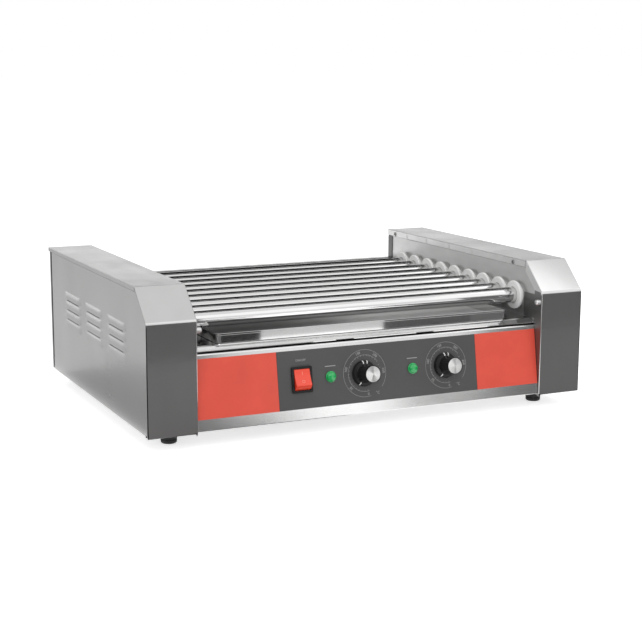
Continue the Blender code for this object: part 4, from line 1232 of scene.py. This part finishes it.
# tone, run along X, and a line of (y, z) points
cards = {
    "left_cap_card": (0.20, (-1.0, -0.025), ((-0.20, 0.002), (-0.65, 0.002), (-0.65, 0.30))),
    "left_tray_card": (0.05, (-0.025, 0.063), ((-0.65, 0.002), (-0.65, 0.031))),
    "left_panel_card": (0.82, (-0.025, 0.063), ((-0.65, 0.031), (-0.65, 0.085))),
    "right_tray_card": (0.14, (0.277, 0.44), ((-0.65, 0.002), (-0.65, 0.031))),
    "right_panel_card": (0.82, (0.277, 0.44), ((-0.65, 0.031), (-0.65, 0.085))),
    "right_cap_card": (0.20, (0.44, 1.5), ((-0.65, 0.002), (-0.65, 0.30))),
    "right_floor_card": (0.19, (0.235, 1.5), ((-0.20, 0.002), (-0.65, 0.002))),
    "middle_floor_card": (0.65, (0.0, 0.36), ((-0.69, 0.002), (-0.86, 0.002))),
    "back_card": (0.03, (-2.5, 4.5), ((1.6, 0.72), (1.6, 1.0), (0.268, 1.0))),
    "roof_card": (0.03, (-2.5, 4.5), ((0.212, 1.0), (0.0, 1.0))),
    "side_near_card": (0.42, (-0.45, -0.31), ((-0.25, 0.003), (0.25, 0.003))),
    "side_far_card": (0.64, (-3.0, -0.31), ((-0.25, 0.002), (4.0, 0.002))),
}


def reflectedCard(name, tone, run, line):
    # the line drawn out along the run, seen in reflections alone
    bm = bmesh.new()
    drawnOut(bm, chainOf(bm, [(run[0], y, z) for y, z in line]), (run[1] - run[0], 0, 0))
    card = objectFrom(name, bm, dullPaper(name, tone))
    card.visible_camera = False
    card.visible_diffuse = False
    card.visible_shadow = False


def surround():
    world = bpy.data.worlds.new("surround")
    world.use_nodes = True
    bpy.context.scene.world = world
    tree = world.node_tree
    white = (1, 1, 1, 1)
    feed(tree, tree.nodes["Background"], {"Color": white, "Strength": studio["surround"]})
    seen = tree.nodes["Background"].outputs["Background"]
    light = outputsOf(tree, "Background", {"Color": white, "Strength": studio["ambient"]})["Background"]
    either = outputsOf(tree, "MixShader", {"Fac": seenDirectly(tree), 1: light, 2: seen})["Shader"]
    feed(tree, tree.nodes["World Output"], {"Surface": either})


# where it hangs, what it points at, size across and up, watts, and its turn about Z in degrees
lamps = {
    "overhead_lamp": ((0.0, -0.4, 2.2), (0, 0, 0.1), (2.2, 2.2), 17, 0),
    "front_lamp": ((-0.9, -2.3, 1.3), (0, -0.1, 0.1), (1.0, 1.0), 7, 0),
    "roller_lamp": ((1.15, -1.40, 1.45), (0, 0, 0.14), (1.9, 1.2), 2.5, 0),
    "slope_lamp": ((1.045, -0.478, 1.40), (1.045, -0.478, 0), (0.30, 0.30), 0.25, -26.7),
    "margin_lamp": ((0.233, -0.75, 0.078), (0.233, 0, 0.078), (0.17, 0.085), 0.02, 0),
}
unmirrored = ("overhead_lamp",)  # metal doesn't show this lamp itself


def softLamp(name, spot, target, size, watts, turn):
    light = bpy.data.lights.new(name, "AREA")
    light.shape = "RECTANGLE"
    light.size, light.size_y = size
    light.energy = watts
    made = bpy.data.objects.new(name, light)
    bpy.context.scene.collection.objects.link(made)
    made.location = spot
    made.visible_glossy = name not in unmirrored
    made.rotation_mode = "QUATERNION"
    aim = (Vector(target) - Vector(spot)).to_track_quat("-Z", "Y")
    made.rotation_quaternion = Quaternion((0, 0, 1), math.radians(turn)) @ aim


view = {
    "target": (20.98 * mm, 8.23 * mm, 94.64 * mm), "azimuth": -25.503, "elevation": 10.5, "roll": 0.244,
    "distance": 1.87223, "lens": 79.11, "sensor": 36,
}


def photoCamera():
    lens = bpy.data.cameras.new("photo_camera")
    lens.sensor_width = view["sensor"]
    lens.lens = view["lens"]
    camera = bpy.data.objects.new("photo_camera", lens)
    bpy.context.scene.collection.objects.link(camera)
    around, up = math.radians(view["azimuth"]), math.radians(view["elevation"])
    back = Vector((math.sin(around) * math.cos(up), -math.cos(around) * math.cos(up), math.sin(up)))
    camera.location = Vector(view["target"]) + back * view["distance"]
    camera.rotation_mode = "QUATERNION"
    level = (-back).to_track_quat("-Z", "Y")
    camera.rotation_quaternion = level @ Quaternion((0, 0, 1), math.radians(view["roll"]))
    bpy.context.scene.camera = camera


studioFloor()
for name, settings in cards.items():
    reflectedCard(name, *settings)
surround()
for name, settings in lamps.items():
    softLamp(name, *settings)
photoCamera()
bpy.context.scene.view_settings.view_transform = "Standard"
print("studio made")
